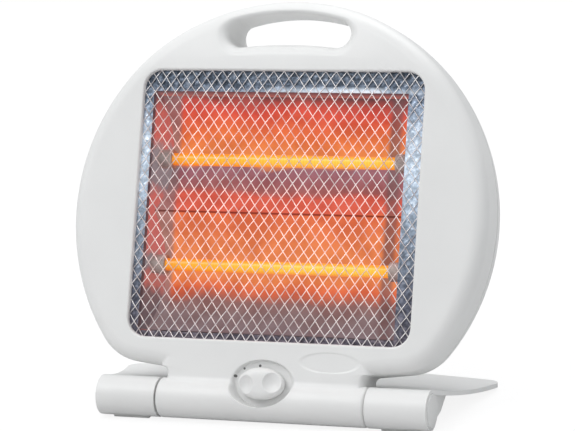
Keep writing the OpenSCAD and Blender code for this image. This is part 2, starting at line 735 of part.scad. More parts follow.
// Plan of the stand: its rear edge is a shallow arc, its sides flare towards two rounded corners
module plan() {
    side_y = plate_depth - rear_curve_r + sqrt(pow(rear_curve_r - tip_r, 2) - pow(plate_half - tip_r, 2));
    intersection() {
        translate([0, plate_depth - rear_curve_r]) circle(rear_curve_r, $fn = 720);
        union() {
            polygon([[-barrel_x1, -barrel_r], [barrel_x1, -barrel_r], [barrel_x1, 6],
                     [plate_half, side_y], [plate_half - tip_r, side_y], [plate_half - tip_r, plate_depth],
                     [-plate_half + tip_r, plate_depth], [-plate_half + tip_r, side_y],
                     [-plate_half, side_y], [-barrel_x1, 6]]);
            for (s = [-1, 1]) translate([s * (plate_half - tip_r), side_y]) circle(tip_r);
        }
    }
}
foot_x = barrel_all_w / 2 - 21.5;
foot_spots = [[foot_x, 0], [-foot_x, 0], [plate_half - 34, plate_depth - 22], [34 - plate_half, plate_depth - 22]];
module stand_base() {
    color("whitesmoke") on_stand() difference() {
        union() {
            intersection() {
                along_x(-plate_half - 1, plate_half + 1) plate_profile();
                translate([0, 0, -axle_h]) linear_extrude(3 * axle_h) plan();
            }
            for (s = [0, 1]) mirror([s, 0, 0])
                along_x(barrel_x0, barrel_x1) knuckle_profile();
            for (x = [-1, 1] * (barrel_x0 + 14)) along_x(x - 1, x + 1)
                polygon(concat([[30, -2]], [for (p = plate_line(0.4, 30)) if (p[0] < 90) p],
                        reversed([for (p = plate_line(plate_t + 4, 30)) if (p[0] < 90) p])));
            for (p = foot_spots) if (p[1] > 0)
                translate([p[0], p[1], pad_h + 0.4 - axle_h])
                    cylinder(r = 6.5, h = plate_z(p[1] + 6) - (pad_h + 0.4 - axle_h));
        }
        translate([-barrel_x0, -20, -axle_h]) cube([2 * barrel_x0, 20 + notch_y, 3 * axle_h]);
        for (s = [0, 1]) mirror([s, 0, 0]) {
            rod_x(0, 0, barrel_r - wall, barrel_x0 + 12, barrel_x1 + 1);
            rod_x(0, 0, pin_r + 0.02, barrel_x0 - 1, barrel_x0 + 13);
        }
        for (p = foot_spots) if (p[1] == 0)
            translate([p[0] - 13, -4.2, -axle_h]) cube([26, 8.4, pad_h + 1.2]);
    }
}
module barrel_caps() {
    color("white") on_stand() for (s = [0, 1]) mirror([s, 0, 0]) {
        difference() {
            rod_x(0, 0, barrel_r - wall - 0.1, barrel_x1 - 8, barrel_x1 + 1);
            rod_x(0, 0, barrel_r - 2 * wall, barrel_x1 - 9, barrel_x1 - 2);
        }
    }
}
module hinge_pins() {
    color("silver") on_stand() for (s = [0, 1]) mirror([s, 0, 0])
        rod_x(0, 0, pin_r, barrel_x0 - barrel_gap - 12, barrel_x0 + 12);
}
module friction_washers() {
    color("gray") on_stand() for (s = [0, 1]) mirror([s, 0, 0]) difference() {
        rod_x(0, 0, 9, barrel_x0 - barrel_gap + 0.15, barrel_x0 - 0.1);
        rod_x(0, 0, pin_r + 0.2, 0, barrel_x1);
    }
}
module stand_feet() {
    color("dimgray") on_stand() for (p = foot_spots)
        if (p[1] == 0)
            translate([p[0] - 13 + 0.1, -4.1, -axle_h]) cube([25.8, 8.2, pad_h + 1.2 - 0.1]);
        else
            translate([p[0], p[1], -axle_h]) cylinder(r = 6, h = pad_h + 0.35);
}

front_housing();
rear_housing();
hinge_bushes();
grille();
reflector_frame();
reflector();
end_plate_left();
end_plate_right();
bracket_left();
bracket_right();
upper_tube();
lower_tube();
upper_coil();
lower_coil();
tube_caps_left();
tube_caps_right();
lead_pins();
heat_shield();
thermal_cutout();
rotary_switch();
switch_shaft();
knob();
tip_switch_case();
tip_weight();
terminal_block();
cord_grommet();
housing_screws();
pan_screws();
stand_base();
barrel_caps();
hinge_pins();
friction_washers();
stand_feet();
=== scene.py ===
import math

import bpy
import numpy as np
from mathutils import Matrix, Vector
from mathutils.geometry import delaunay_2d_cdt


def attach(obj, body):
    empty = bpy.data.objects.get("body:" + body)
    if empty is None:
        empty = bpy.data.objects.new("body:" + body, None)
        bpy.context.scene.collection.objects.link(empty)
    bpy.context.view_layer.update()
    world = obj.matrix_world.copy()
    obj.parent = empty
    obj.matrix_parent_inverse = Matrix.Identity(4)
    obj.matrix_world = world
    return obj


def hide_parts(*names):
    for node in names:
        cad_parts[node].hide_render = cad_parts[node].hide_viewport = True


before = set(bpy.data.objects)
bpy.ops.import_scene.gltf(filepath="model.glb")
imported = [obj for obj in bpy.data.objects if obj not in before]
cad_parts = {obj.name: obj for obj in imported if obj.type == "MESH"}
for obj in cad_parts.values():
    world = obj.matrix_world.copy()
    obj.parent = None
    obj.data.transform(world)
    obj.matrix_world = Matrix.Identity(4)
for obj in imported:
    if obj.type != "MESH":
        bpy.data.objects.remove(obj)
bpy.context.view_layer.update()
scene = bpy.context.scene
scene.view_settings.view_transform = "Standard"

# ---- Camera ---------------------------------------------------------------------------------
# It stands to the heater's right, a little above it and 2 m away, as the photograph was taken.
# Its axes and place are in metres; the lens is for a 36 mm sensor across the picture's width.
camera_data = bpy.data.cameras.new("camera")
camera_data.lens = 177.05
camera_data.sensor_width = 36.0
camera_data.clip_start, camera_data.clip_end = 0.05, 20.0
camera = bpy.data.objects.new("camera", camera_data)
scene.collection.objects.link(camera)
scene.camera = camera
eye = (0.67750236, -1.74257957, 0.62220397)
look = (-0.34861423, 0.90189887, -0.25504225)
right = (0.93690604, 0.34287437, -0.06814862)
up = (-0.02598429, 0.2627082, 0.96452538)
rows = [[right[i], up[i], -look[i], eye[i]] for i in range(3)]
camera.matrix_world = Matrix(rows + [[0, 0, 0, 1]])


# ---- Room -----------------------------------------------------------------------------------
# A white studio: a pale floor that keeps the heater's soft shadow, and a surround that is white
# to the camera but lights the heater with a dimmer glow, stronger from above.
def linear(colour):
    """An sRGB hex colour as linear red, green, blue and alpha 1."""
    parts = (int(colour[i:i + 2], 16) / 255 for i in (1, 3, 5))
    return *(c / 12.92 if c <= 0.04045 else ((c + 0.055) / 1.055) ** 2.4 for c in parts), 1.0


def add(tree, kind, inputs=None, stops=(), **settings):
    """Adds one node. kind is its type, without the word ShaderNode in a material; settings are its
    own attributes; inputs fill its sockets or link them to a socket or to a node's first output; a
    colour ramp's stops are (position, hex colour)."""
    made = tree.nodes.new(("ShaderNode" if tree.type == "SHADER" else "") + kind)
    for name, value in settings.items():
        setattr(made, name, value)
    for name, value in (inputs or {}).items():
        if isinstance(value, bpy.types.Node):
            value = value.outputs[0]
        if isinstance(value, bpy.types.NodeSocket):
            tree.links.new(value, made.inputs[name])
        else:
            made.inputs[name].default_value = value
    if stops:
        points = made.color_ramp.elements
        points[0].position, points[0].color = stops[0][0], linear(stops[0][1])
        points[1].position, points[1].color = stops[-1][0], linear(stops[-1][1])
        for position, colour in stops[1:-1]:
            points.new(position).color = linear(colour)
    return made


def surface_material(name):
    """A node material of that name with an empty tree."""
    made = bpy.data.materials.new(name)
    made.use_nodes = True
    made.node_tree.nodes.clear()
    return made, made.node_tree


def seen_directly(tree):
    """1 for a ray from the camera or one that came through glass, else 0."""
    ray = add(tree, "LightPath")
    return add(tree, "Math", {0: ray.outputs["Is Camera Ray"],
                              1: ray.outputs["Is Transmission Ray"]},
               operation="MAXIMUM")


world = bpy.data.worlds.new("studio")
scene.world = world
world.use_nodes = True
tree = world.node_tree
tree.nodes.clear()
aim = add(tree, "SeparateXYZ", {0: add(tree, "TexCoord").outputs["Generated"]})
height = add(tree, "MapRange", {"Value": aim.outputs["Z"], "From Min": -0.35,
                                "From Max": 0.9, "To Min": 0.29, "To Max": 0.84})
dim = add(tree, "Background", {"Color": linear("#FBFDFF"), "Strength": height})
white = add(tree, "Background", {"Color": linear("#FFFFFF"), "Strength": 1.0})
both = add(tree, "MixShader", {0: seen_directly(tree), 1: dim, 2: white})
add(tree, "OutputWorld", {"Surface": both})

floor_mesh = bpy.data.meshes.new("floor")
FLOOR = 6.0                 # half the floor's side, in metres
corners = [(x * FLOOR, y * FLOOR, 0) for x, y in ((-1, -1), (1, -1), (1, 1), (-1, 1))]
floor_mesh.from_pydata(corners, [], [(0, 1, 2, 3)])
floor = bpy.data.objects.new("floor", floor_mesh)
scene.collection.objects.link(floor)
floor_paint, tree = surface_material("studio_floor")
seen = seen_directly(tree)
share = add(tree, "Math", {0: seen, 1: 0.84}, operation="MULTIPLY")
pale = add(tree, "Mix", {"Factor": seen, 6: linear("#D2D2D2"), 7: linear("#F4F4F4")},
           data_type="RGBA")
matt = add(tree, "BsdfDiffuse", {"Color": pale.outputs[2]})
lit = add(tree, "Emission", {"Color": linear("#FFFFFF"), "Strength": 1.04})
both = add(tree, "MixShader", {0: share, 1: matt, 2: lit})
add(tree, "OutputMaterial", {"Surface": both})
floor_mesh.materials.append(floor_paint)


def soft_lamp(name, place, aim, size, watts, colour):
    """A square area lamp at place, in metres, that points at aim."""
    data = bpy.data.lights.new(name, "AREA")
    data.size, data.energy, data.color = size, watts, linear(colour)[:3]
    lamp = bpy.data.objects.new(name, data)
    scene.collection.objects.link(lamp)
    lamp.location = place
    lamp.rotation_euler = (Vector(aim) - Vector(place)).to_track_quat("-Z", "Y").to_euler()


soft_lamp("key_lamp", (-1.15, -1.3, 2.4), (0, 0, 0.12), 1.4, 28, "#FFFFFF")
soft_lamp("top_lamp", (0.2, 0.9, 2.0), (0, 0, 0.1), 1.2, 13, "#FFFFFF")

# ---- Front cover ----------------------------------------------------------------------------
# The round face of white polypropylene, moulded in one piece with its chin and hinge barrel.
# Its edge, slot and window are rolled in the mould, and a fine spark-eroded grain covers it.
# Sizes are millimetres, upright: X to the right, Y back from the face, Z up from the hinge.
LEAN = math.radians(22)     # the housing leans back on its stand
AXLE = (-58.4538, 14.5)     # the hinge axis, Y and Z in the row
BARREL, BARREL_Y = 13.7, 6.0    # the barrel's radius, and its axis behind the face
CENTRE_Z, ROUND = 126.5, 150.0  # the round face's centre and radius
CORNER = (92.2279, 59.4925, 36.0)   # a lower corner's centre, X and Z, and its radius
CORNER_TOP = -36            # where the big arc meets the corner, degrees round the face's centre
CORNER_SIDE = -30           # where the corner's own arc ends at the latest, degrees
BELLY = math.radians(7)     # slope of the straight edge under the face
BELLY_IN = 60.0             # where that edge ends, inside the chin
EDGE_ROLL = 10.0            # radius of the face's rolled edge
FRONT_DEPTH = 28.0          # the parting line between front and rear cover
GROOVE = 0.6                # depth of the groove along it
SLOT_MEET = 28.2            # where the two covers' walls meet inside the slot


def from_housing(points):
    """Housing millimetres to the row's metres: the housing is turned back about the hinge axis by
    its lean, then put on the stand."""
    x, y, z = np.asarray(points, float).T
    y = y - BARREL_Y
    return np.stack([x, AXLE[0] + y * math.cos(LEAN) + z * math.sin(LEAN),
                     AXLE[1] - y * math.sin(LEAN) + z * math.cos(LEAN)], 1) / 1000


def arc(x, z, radius, start, end, step=2.0):
    """Points of a circle from start to end, in degrees."""
    a = np.radians(np.linspace(start, end, max(3, int(abs(end - start) / step) + 1)))
    return np.stack([x + radius * np.cos(a), z + radius * np.sin(a)], 1)


def oval(x, z, half_width, half_height, count=72):
    """Points of an oval: a circle stretched to the two half sizes."""
    a = np.arange(count) * 2 * np.pi / count
    return np.stack([x + half_width * np.cos(a), z + half_height * np.sin(a)], 1)


def outline(inset=0.0, scale=1.0):
    """The housing's edge, drawn in by inset and shrunk by scale towards the face's centre: one big
    arc, two corner arcs, and a belly line to each side of the chin."""
    x, z, radius = CORNER
    low = arc(x, z, radius - inset, math.degrees(BELLY) - 90, CORNER_TOP, 4)
    foot = [[BELLY_IN, low[0, 1] - (low[0, 0] - BELLY_IN) * math.tan(BELLY)]]
    half = np.vstack([foot, low, arc(0, CENTRE_Z, ROUND - inset, CORNER_TOP, 90)[1:]])
    ring = np.vstack([half, (half * (-1, 1))[-2::-1]])
    return (ring - (0, CENTRE_Z)) * scale + (0, CENTRE_Z)


def inside_by(x, z):
    """Distance from a point inside the housing to its edge: to the big arc above the corners,
    else to a corner arc or a belly line."""
    x = np.abs(x)
    vx, vz = x - CORNER[0], z - CORNER[1]
    turn = np.degrees(np.arctan2(vz, vx))
    belly = CORNER[2] - vx * math.sin(BELLY) + vz * math.cos(BELLY)
    low = np.where((turn > math.degrees(BELLY) - 90) & (turn < CORNER_SIDE),
                   CORNER[2] - np.hypot(vx, vz), belly)
    return np.where(np.degrees(np.arctan2(z - CENTRE_Z, x)) >= CORNER_TOP,
                    ROUND - np.hypot(x, z - CENTRE_Z), low)


SLOT_TOP, SLOT_END = 140.5, 9.6     # radii of the slot's upper edge and of its round ends
SLOT_X, SLOT_MID = 34.9, 245.0      # middle of a round end in X, and height of the lower edge
SLOT_Z = CENTRE_Z + math.sqrt((SLOT_TOP - SLOT_END) ** 2 - SLOT_X ** 2)
dip = SLOT_Z - SLOT_MID
SLOT_LOW = (SLOT_X ** 2 + dip ** 2 - SLOT_END ** 2) / (2 * (SLOT_END - dip))
LOW_Z = SLOT_MID - SLOT_LOW         # centre of the lower edge's arc, whose radius is SLOT_LOW
END_TOP = math.degrees(math.atan2(SLOT_Z - CENTRE_Z, SLOT_X))   # where an end meets the upper
END_LOW = math.degrees(math.atan2(SLOT_Z - LOW_Z, SLOT_X))      # and the lower edge
LIP, LIP_LESS = 8.0, 3.5            # width of the slot's rolled lip, less so much on top


def lip_width(up):
    """Width of the slot's rolled lip, narrower the more its edge faces up."""
    return LIP - LIP_LESS * np.maximum(up, 0)


def slot_ring(grow):
    """The carrying slot's edge, grown outwards: two long arcs joined by two round ends. grow is a
    number, or a function of how far up the edge faces."""
    sides = ((0, CENTRE_Z, SLOT_TOP, END_TOP, 180 - END_TOP, 1, 1.2),
             (-SLOT_X, SLOT_Z, SLOT_END, 180 - END_TOP, 360 - END_LOW, 1, 9),
             (0, LOW_Z, SLOT_LOW, 180 - END_LOW, END_LOW, -1, 0.6),
             (SLOT_X, SLOT_Z, SLOT_END, 180 + END_LOW, 360 + END_TOP, 1, 9))
    ring = []
    for x, z, radius, start, end, sign, fine in sides:
        unit = arc(0, 0, 1, start, end, fine)[:-1]
        out = grow(sign * unit[:, 1])[:, None] if callable(grow) else grow
        ring.append(unit * (radius + sign * out) + (x, z))
    return np.vstack(ring)


def off_slot(x, z):
    """Distance outside the slot's edge, and how far up that edge faces."""
    vx, vz = np.abs(x) - SLOT_X, z - SLOT_Z
    turn = np.degrees(np.arctan2(vz, vx))
    far = np.hypot(vx, vz)
    at_end = (turn > END_LOW - 180) & (turn < END_TOP)
    high = np.hypot(x, z - CENTRE_Z)
    above = (high > SLOT_TOP - 11) & (z > CENTRE_Z)
    gap = np.where(at_end, far - SLOT_END,
                   np.where(above, high - SLOT_TOP, SLOT_LOW - np.hypot(x, z - LOW_Z)))
    facing = np.where(at_end, vz / np.maximum(far, 1e-6), np.where(above, 1.0, -1.0))
    return gap, facing


def in_slot(x, z):
    """True inside the slot's edge."""
    return off_slot(x, z)[0] < 0


WINDOW = (102.0, 40.6, 226.0, 13.0)     # half width, lower and upper edge, corner radius
WINDOW_ROLL = 1.3


def window_ring(grow):
    """The window's edge, grown outwards: a rectangle with round corners."""
    w, low, high, r = WINDOW
    corners = ((w - r, high - r, 0), (r - w, high - r, 90), (r - w, low + r, 180),
               (w - r, low + r, 270))
    return np.vstack([arc(x, z, r + grow, a, a + 90, 9) for x, z, a in corners])


def off_window(x, z):
    """Distance outside the window's edge."""
    w, low, high, r = WINDOW
    dx = np.abs(x) - (w - r)
    dz = np.abs(z - (low + high) / 2) - ((high - low) / 2 - r)
    return np.hypot(np.maximum(dx, 0), np.maximum(dz, 0)) + np.minimum(np.maximum(dx, dz), 0) - r


def roll(gap, radius):
    """How far an edge rounded by radius has fallen back at a gap from it: a quarter circle."""
    left = np.clip(radius - gap, 0, radius)
    return radius - np.sqrt(np.maximum(radius ** 2 - left ** 2, 0))


FILLET = 5.0                # hollow between face and barrel
FILLET_Z = math.sqrt((BARREL + FILLET) ** 2 - (BARREL_Y + FILLET) ** 2)
JOIN_Z = FILLET_Z * BARREL / (BARREL + FILLET)      # where the hollow runs into the barrel
UNDER_Z, UNDER_TURN = -12.5, -65.85     # where the barrel turns under: height, and degrees
FACE_LOW, CHIN_JOIN, CHIN_TOP = 19, 25, 40.0    # the face starts, the chin's edge ends, both meet
CHIN = 71.5                             # the chin's half width
FLARE, FLARE_Z = 5.0, 16.3              # radius and start of the curve into the belly
CHIN_ROLL, CHIN_FALL = (4, 11), 10      # width of its rolled side below and above, and its depth
CROWN_Z, TOP_Z, CROWN_FALL = 222, 276.5, 8          # the face falls back from here to its top
DISH_Z, DISH_FLOOR = 12.0, 3.0          # the knob's dish: its middle's height, and its depth
DISH_IN, DISH_OUT = (19.9, 15.6), (23.5, 16.5)      # half sizes of its floor and of its edge
DENT, DENT_SIZE = (47, 28), (22.5, 7.4)             # a shallow plain oval beside the dish,
DENT_DEPTH, DENT_EDGE = 0.5, 0.16                   # and the share of it that its slope takes
SHAFT_HOLE = 3.6


def chin_half(z):
    """Half width of the chin: straight, then flared by a hollow curve into the belly."""
    t = np.clip((z - FLARE_Z) / FLARE, 0, 1)
    return CHIN + FLARE * (1 - np.sqrt(1 - t * t))


def chin_roll(z):
    """Width of the chin's rolled side: narrow by the barrel, then growing evenly into the belly."""
    return CHIN_ROLL[0] + (CHIN_ROLL[1] - CHIN_ROLL[0]) * np.clip((z - FACE_LOW) / 13, 0, 1)


def cover_depth(x, z):
    """Depth of the cover's front at x, z: the flat face with its rolled edges, or the chin and the
    barrel where they stand in front of it, and then the hollow of the dish and the oval dent."""
    fall = CROWN_FALL * np.clip((z - CROWN_Z) / (TOP_Z - CROWN_Z), 0, None) ** 2
    edge = roll(np.maximum(inside_by(x, z), 0), EDGE_ROLL)
    gap, facing = off_slot(x, z)
    lip = roll(np.maximum(gap, 0), lip_width(facing))
    frame_edge = roll(np.maximum(off_window(x, z), 0), WINDOW_ROLL)
    y = fall + np.hypot(edge, lip) + frame_edge
    side = np.clip((np.abs(x) - (chin_half(z) - chin_roll(z))) / chin_roll(z), 0, 1)
    hollow = FILLET - np.sqrt(np.maximum(FILLET ** 2 - np.clip(FILLET_Z - z, 0, FILLET) ** 2, 0))
    chin = -hollow + CHIN_FALL * (1 - np.sqrt(1 - side * side))
    no_face = (z < CHIN_JOIN) & (inside_by(x, z) < 0)
    y = np.where((z < CHIN_TOP) & (z >= JOIN_Z), np.minimum(np.where(no_face, 99, y), chin), y)
    tube = BARREL_Y - np.sqrt(np.maximum(BARREL ** 2 - z * z, 0))
    y = np.where(z < JOIN_Z, tube, np.where(np.abs(z) < BARREL, np.minimum(y, tube), y))
    near, far = (np.hypot(x / a, (z - DISH_Z) / b) for a, b in (DISH_IN, DISH_OUT))
    across = np.clip((near - 1) / np.maximum(near - far, 1e-9), 0, 1)
    y = np.where(far < 1, y + (DISH_FLOOR - y) * (0.5 + 0.5 * np.cos(np.pi * across)), y)
    ratio = np.hypot((x - DENT[0]) / DENT_SIZE[0], (z - DENT[1]) / DENT_SIZE[1])
    slope = np.clip((1 - ratio) / DENT_EDGE, 0, 1)
    return y + DENT_DEPTH * (0.5 - 0.5 * np.cos(np.pi * slope))


def meshed(loops, lines, keep):
    """Constrained Delaunay triangles over closed loops and open lines in X and Z, kept where
    keep(x, z) holds at a triangle's middle. They run counter-clockwise."""
    curves, edges, first = [np.asarray(c, float) for c in loops + lines], [], 0
    for i, curve in enumerate(curves):
        at = first + np.arange(len(curve))
        edges.append(np.column_stack([at, np.roll(at, -1)])[:None if i < len(loops) else -1])
        first += len(curve)
    flat, _, tris, *_ = delaunay_2d_cdt(np.vstack(curves).tolist(), np.vstack(edges).tolist(),
                                        [], 0, 1e-3)
    flat, tris = np.array(flat), np.array(tris)
    a, b, c = (flat[tris[:, i]] for i in range(3))
    area = (b[:, 0] - a[:, 0]) * (c[:, 1] - a[:, 1]) - (b[:, 1] - a[:, 1]) * (c[:, 0] - a[:, 0])
    tris = np.where(area[:, None] < 0, tris[:, ::-1], tris)
    middle = (a + b + c) / 3
    return flat, tris[(np.abs(area) > 1e-7) & keep(middle[:, 0], middle[:, 1])]


def border(tris):
    """Edges that only one triangle has, in that triangle's direction."""
    edges = np.vstack([tris[:, [0, 1]], tris[:, [1, 2]], tris[:, [2, 0]]])
    size = tris.max() + 1
    return edges[~np.isin(edges[:, 0] * size + edges[:, 1], edges[:, 1] * size + edges[:, 0])]


def walls(points, edges, rings, way=1):
    """Carries border edges on through rings, each a function of the points and of their outward
    normals in X and Z. Gives all points, and the new quads."""
    used, at = np.unique(edges, return_inverse=True)
    at = at.reshape(edges.shape)
    along = points[edges[:, 1]] - points[edges[:, 0]]
    normal = np.zeros((len(used), 2))
    for end in (0, 1):
        np.add.at(normal, at[:, end], np.stack([along[:, 2], -along[:, 0]], 1) * way)
    normal /= np.maximum(np.linalg.norm(normal, axis=1), 1e-9)[:, None]
    last, current, quads = edges, points[used], []
    for ring in rings:
        current = ring(current, normal)
        fresh = at + len(points)
        points = np.vstack([points, current])
        quads.append(np.column_stack([last[:, 1], last[:, 0], fresh[:, 0], fresh[:, 1]]))
        last = fresh
    return points, np.vstack(quads)


def level(y, out=0.0):
    """A ring at depth y, moved outwards."""
    return lambda p, n: np.insert(p[:, ::2] + n * out, 1, y, axis=1)


def deeper(by):
    """A ring deeper by some millimetres."""
    return lambda p, n: p + (0, by, 0)


def on_barrel(turn):
    """A ring at that angle round the barrel's axis."""
    y, z = BARREL_Y - BARREL * math.cos(turn), BARREL * math.sin(turn)
    return lambda p, n: p * (1, 0, 0) + (0, y, z)


def build(name, points, faces, material, body, stands_for=(), crease=38):
    """Puts points, in the row's metres, and faces into a new object that rides on a body. Edges
    sharper than crease, in degrees, stay sharp."""
    mesh = bpy.data.meshes.new(name)
    polygons = [face for group in faces for face in group.tolist()]
    mesh.from_pydata(np.asarray(points).tolist(), [], polygons)
    mesh.validate()
    mesh.shade_smooth()
    mesh.set_sharp_from_angle(angle=math.radians(crease))
    mesh.materials.append(material)
    made = bpy.data.objects.new(name, mesh)
    scene.collection.objects.link(made)
    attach(made, body)
    if stands_for:
        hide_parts(*stands_for)


def moulded_plastic(name, colour, shade, grain_mm, grain_depth, rough):
    """Injection-moulded polypropylene: an even colour with a faint cloudy flow, a satin skin whose
    roughness varies a little, and a spark-eroded grain."""
    made, tree = surface_material(name)
    place = add(tree, "TexCoord").outputs["Object"]
    # The flow's clouds are about 70 mm across, and the worn patches 20 mm.
    flow = add(tree, "TexNoise", {"Vector": place, "Scale": 14.0, "Detail": 2.0})
    tone = add(tree, "ValToRGB", {"Fac": flow}, stops=((0.3, shade), (0.7, colour)))
    grain = add(tree, "TexNoise", {"Vector": place, "Scale": 1000 / grain_mm, "Detail": 1.0})
    worn = add(tree, "TexNoise", {"Vector": place, "Scale": 45.0, "Detail": 3.0})
    gloss = add(tree, "MapRange", {"Value": worn, "To Min": rough - 0.06, "To Max": rough + 0.06})
    bump = add(tree, "Bump", {"Height": grain, "Strength": 0.25, "Distance": grain_depth / 1000})
    skin = add(tree, "BsdfPrincipled", {
        "Base Color": tone, "Roughness": gloss, "IOR": 1.49,
        "Subsurface Weight": 0.0, "Normal": bump})
    add(tree, "OutputMaterial", {"Surface": skin})
    return made


white_plastic = moulded_plastic("moulded_white_polypropylene", "#E9E9E8", "#E4E4E3",
                                grain_mm=0.9, grain_depth=0.05, rough=0.42)

# The front is meshed flat, along rings and lines where its depth bends, and then given its depth.
edge_rings = [outline(EDGE_ROLL * (1 - math.cos(math.radians(a)))) for a in range(0, 91, 9)]
edge_rings += [outline(10.8), outline(13)]
lip_rings = [slot_ring(lambda up, s=math.sin(math.radians(a)): lip_width(up) * (1 - s))
             for a in (90, 78, 66, 54, 42, 31, 20, 10, 0)]
window_rings = [window_ring(g) for g in (0, 0.15, 0.5, 0.9, WINDOW_ROLL, 1.8, 3)]
dish_rings = [oval(0, DISH_Z, *(np.array(DISH_IN) + (np.array(DISH_OUT) - DISH_IN) * t))
              for t in np.linspace(0, 1, 9)]
dish_rings += [oval(0, DISH_Z, *half) for half in ((24.2, 17.2), (10, 10), (SHAFT_HOLE,) * 2)]
dent_rings = [oval(*DENT, DENT_SIZE[0] * k, DENT_SIZE[1] * k)
              for k in (1.03, 1, 0.96, 0.92, 0.88, 0.84, 0.8)]
flare_z = np.linspace(FLARE_Z, FLARE_Z + FLARE, 6)
right_side = np.vstack([[[CHIN, z] for z in (UNDER_Z, -6.0, 0.0, 8.0, JOIN_Z)],
                        np.stack([chin_half(flare_z), flare_z], 1),
                        [[CHIN + FLARE, 27.0], [CHIN + FLARE, CHIN_TOP]]])
chin_edge = np.vstack([right_side, (right_side * (-1, 1))[::-1]])
side_z = np.concatenate([[JOIN_Z], flare_z, np.arange(22.5, CHIN_TOP + 0.1, 1.25)])
side_lines = [np.stack([s * (chin_half(side_z) - chin_roll(side_z) * (1 - t)), side_z], 1)
              for s in (-1, 1) for t in (0, 0.25, 0.5, 0.7, 0.85, 0.95)]
barrel_z = [BARREL * math.sin(math.radians(a)) for a in np.linspace(UNDER_TURN, 54.0, 30)[1:]]
barrel_z += list(np.linspace(JOIN_Z, FILLET_Z, 7)[1:]) + [FILLET_Z + 0.5, FILLET_Z + 1.5]
level_lines = [[[-CHIN - 5, z], [CHIN + 5, z]] for z in barrel_z]
crown_lines = [[[-ROUND, z], [ROUND, z]] for z in np.arange(221, 276, 2.5)]


def on_cover(x, z):
    """True on the face, chin and barrel, outside the slot, the window and the shaft's hole."""
    face = (inside_by(x, z) > 0) & (z > FACE_LOW)
    chin = (np.abs(x) < chin_half(z)) & (z < CHIN_JOIN) & (z > UNDER_Z)
    return ((face | chin) & ~in_slot(x, z) & (off_window(x, z) > 0)
            & (np.hypot(x, z - DISH_Z) > SHAFT_HOLE - 0.02))


flat, tris = meshed(edge_rings + lip_rings + window_rings + dish_rings + dent_rings + [chin_edge],
                    side_lines + level_lines + crown_lines, on_cover)
cover = np.insert(flat, 1, cover_depth(*flat.T), axis=1)
edges = border(tris)
x, _, z = cover[edges].mean(1).T        # the middles of its borders' edges
around_slot = off_slot(x, z)[0] < 0.2
at_window = np.abs(off_window(x, z)) < 0.2
at_shaft = np.hypot(x, z - DISH_Z) < SHAFT_HOLE + 0.4
under = z < UNDER_Z + 0.1
beside = (z < 0) & ~under
outer = ~(around_slot | at_window | at_shaft | under | beside)
round_back = [on_barrel(a) for a in np.radians(np.linspace(UNDER_TURN, -180, 24)[1:])]
# Its borders are carried back: the rim to a groove at the parting line, the slot's wall right
# through, the edges of window and shaft hole a little way, and the barrel all the way round.
faces = [tris]
for part, rings in ((outer, [level(27.1), level(27.4, -GROOVE), level(FRONT_DEPTH, -GROOVE)]),
                    (around_slot, [level(12), level(20), level(SLOT_MEET)]),
                    (at_window, [deeper(0.6), deeper(0.5)]), (at_shaft, [deeper(2.4)]),
                    (under, round_back)):
    cover, quads = walls(cover, edges[part], rings)
    faces.append(quads)
first = len(cover)
cover = np.vstack([cover, [[s * CHIN, y, z] for y, z in (
    (BARREL_Y + BARREL, 0), (FRONT_DEPTH, 0), (FRONT_DEPTH, 24)) for s in (-1, 1)]])
faces.append(np.array([[0, 2, 3, 1], [2, 4, 5, 3]]) + first)


def turned(profile, around, axis, count=72):
    """A profile of (place along the axis, radius), carried round an axis along X or Y. around is
    the axis's place in Y and Z, or in Z and X. Faces point outwards where the profile runs to
    plus."""
    profile = np.asarray(profile, float)
    a = np.radians(np.arange(count) * 360.0 / count)
    along = np.repeat(profile[:, :1], count, 1)
    u, v = around[0] + profile[:, 1:] * np.cos(a), around[1] + profile[:, 1:] * np.sin(a)
    grid = np.stack([along, u, v] if axis == "x" else [v, along, u], -1).reshape(-1, 3)
    r, c = np.meshgrid(np.arange(len(profile) - 1), np.arange(count), indexing="ij")
    here, beyond = r * count + c, r * count + (c + 1) % count
    return grid, np.stack([here, beyond, beyond + count, here + count], -1).reshape(-1, 4)[:, ::-1]


def together(*parts):
    """Joins (points, faces) pairs into one."""
    points, faces, base = [], [], 0
    for p, f in parts:
        points.append(p)
        faces.append(f + base)
        base += len(p)
    return np.vstack(points), faces


# The barrel's ends: its rolled rim, and the bore for the hinge pin.
BARREL_END, BORE = 74.8, 8.05       # half length of the barrel, and the bore's radius
end = [(CHIN, BARREL), (72.6, BARREL), (73.4, 13.55), (74.2, 13.0), (74.7, 12.2),
       (BARREL_END, 11.6), (BARREL_END, BORE), (68, BORE)]
no_faces = np.zeros((0, 4), int)
points, end_faces = together((cover, no_faces), turned(end, (BARREL_Y, 0), "x"),
                             turned([(-x, r) for x, r in end[::-1]], (BARREL_Y, 0), "x"))
build("front_cover", from_housing(points), faces + end_faces, white_plastic, "head",
      ("front_housing",))

# ---- Rear cover -----------------------------------------------------------------------------
# The domed back of the same plastic, screwed to the front with six deep-set screws. Rows of
# vents let the warm air out, and a raised boss holds the mains inlet.
BACK_ROUND = 0.3            # share of the radius over which the dome rolls to its edge
BACK_DEPTH, BACK_MID = 69.88, 120   # depth of the dome, and the height where it is deepest
BACK_LIP = 2.5              # radius of the slot's edge on the back
TOP_RISE, BELLY_RISE = 30, 24       # how much shallower it is at the top and at the belly
VENT_ROWS, VENT_COLUMNS = (76, 92, 168, 184), (-52, 0, 52)
VENT_HALF, VENT_R = 18.4, 1.6       # half length between the round ends, and their radius
SCREWS, SCREW_R = ((-122, 190), (122, 190), (-118, 60), (118, 60), (-62, 240), (62, 240)), 3.6


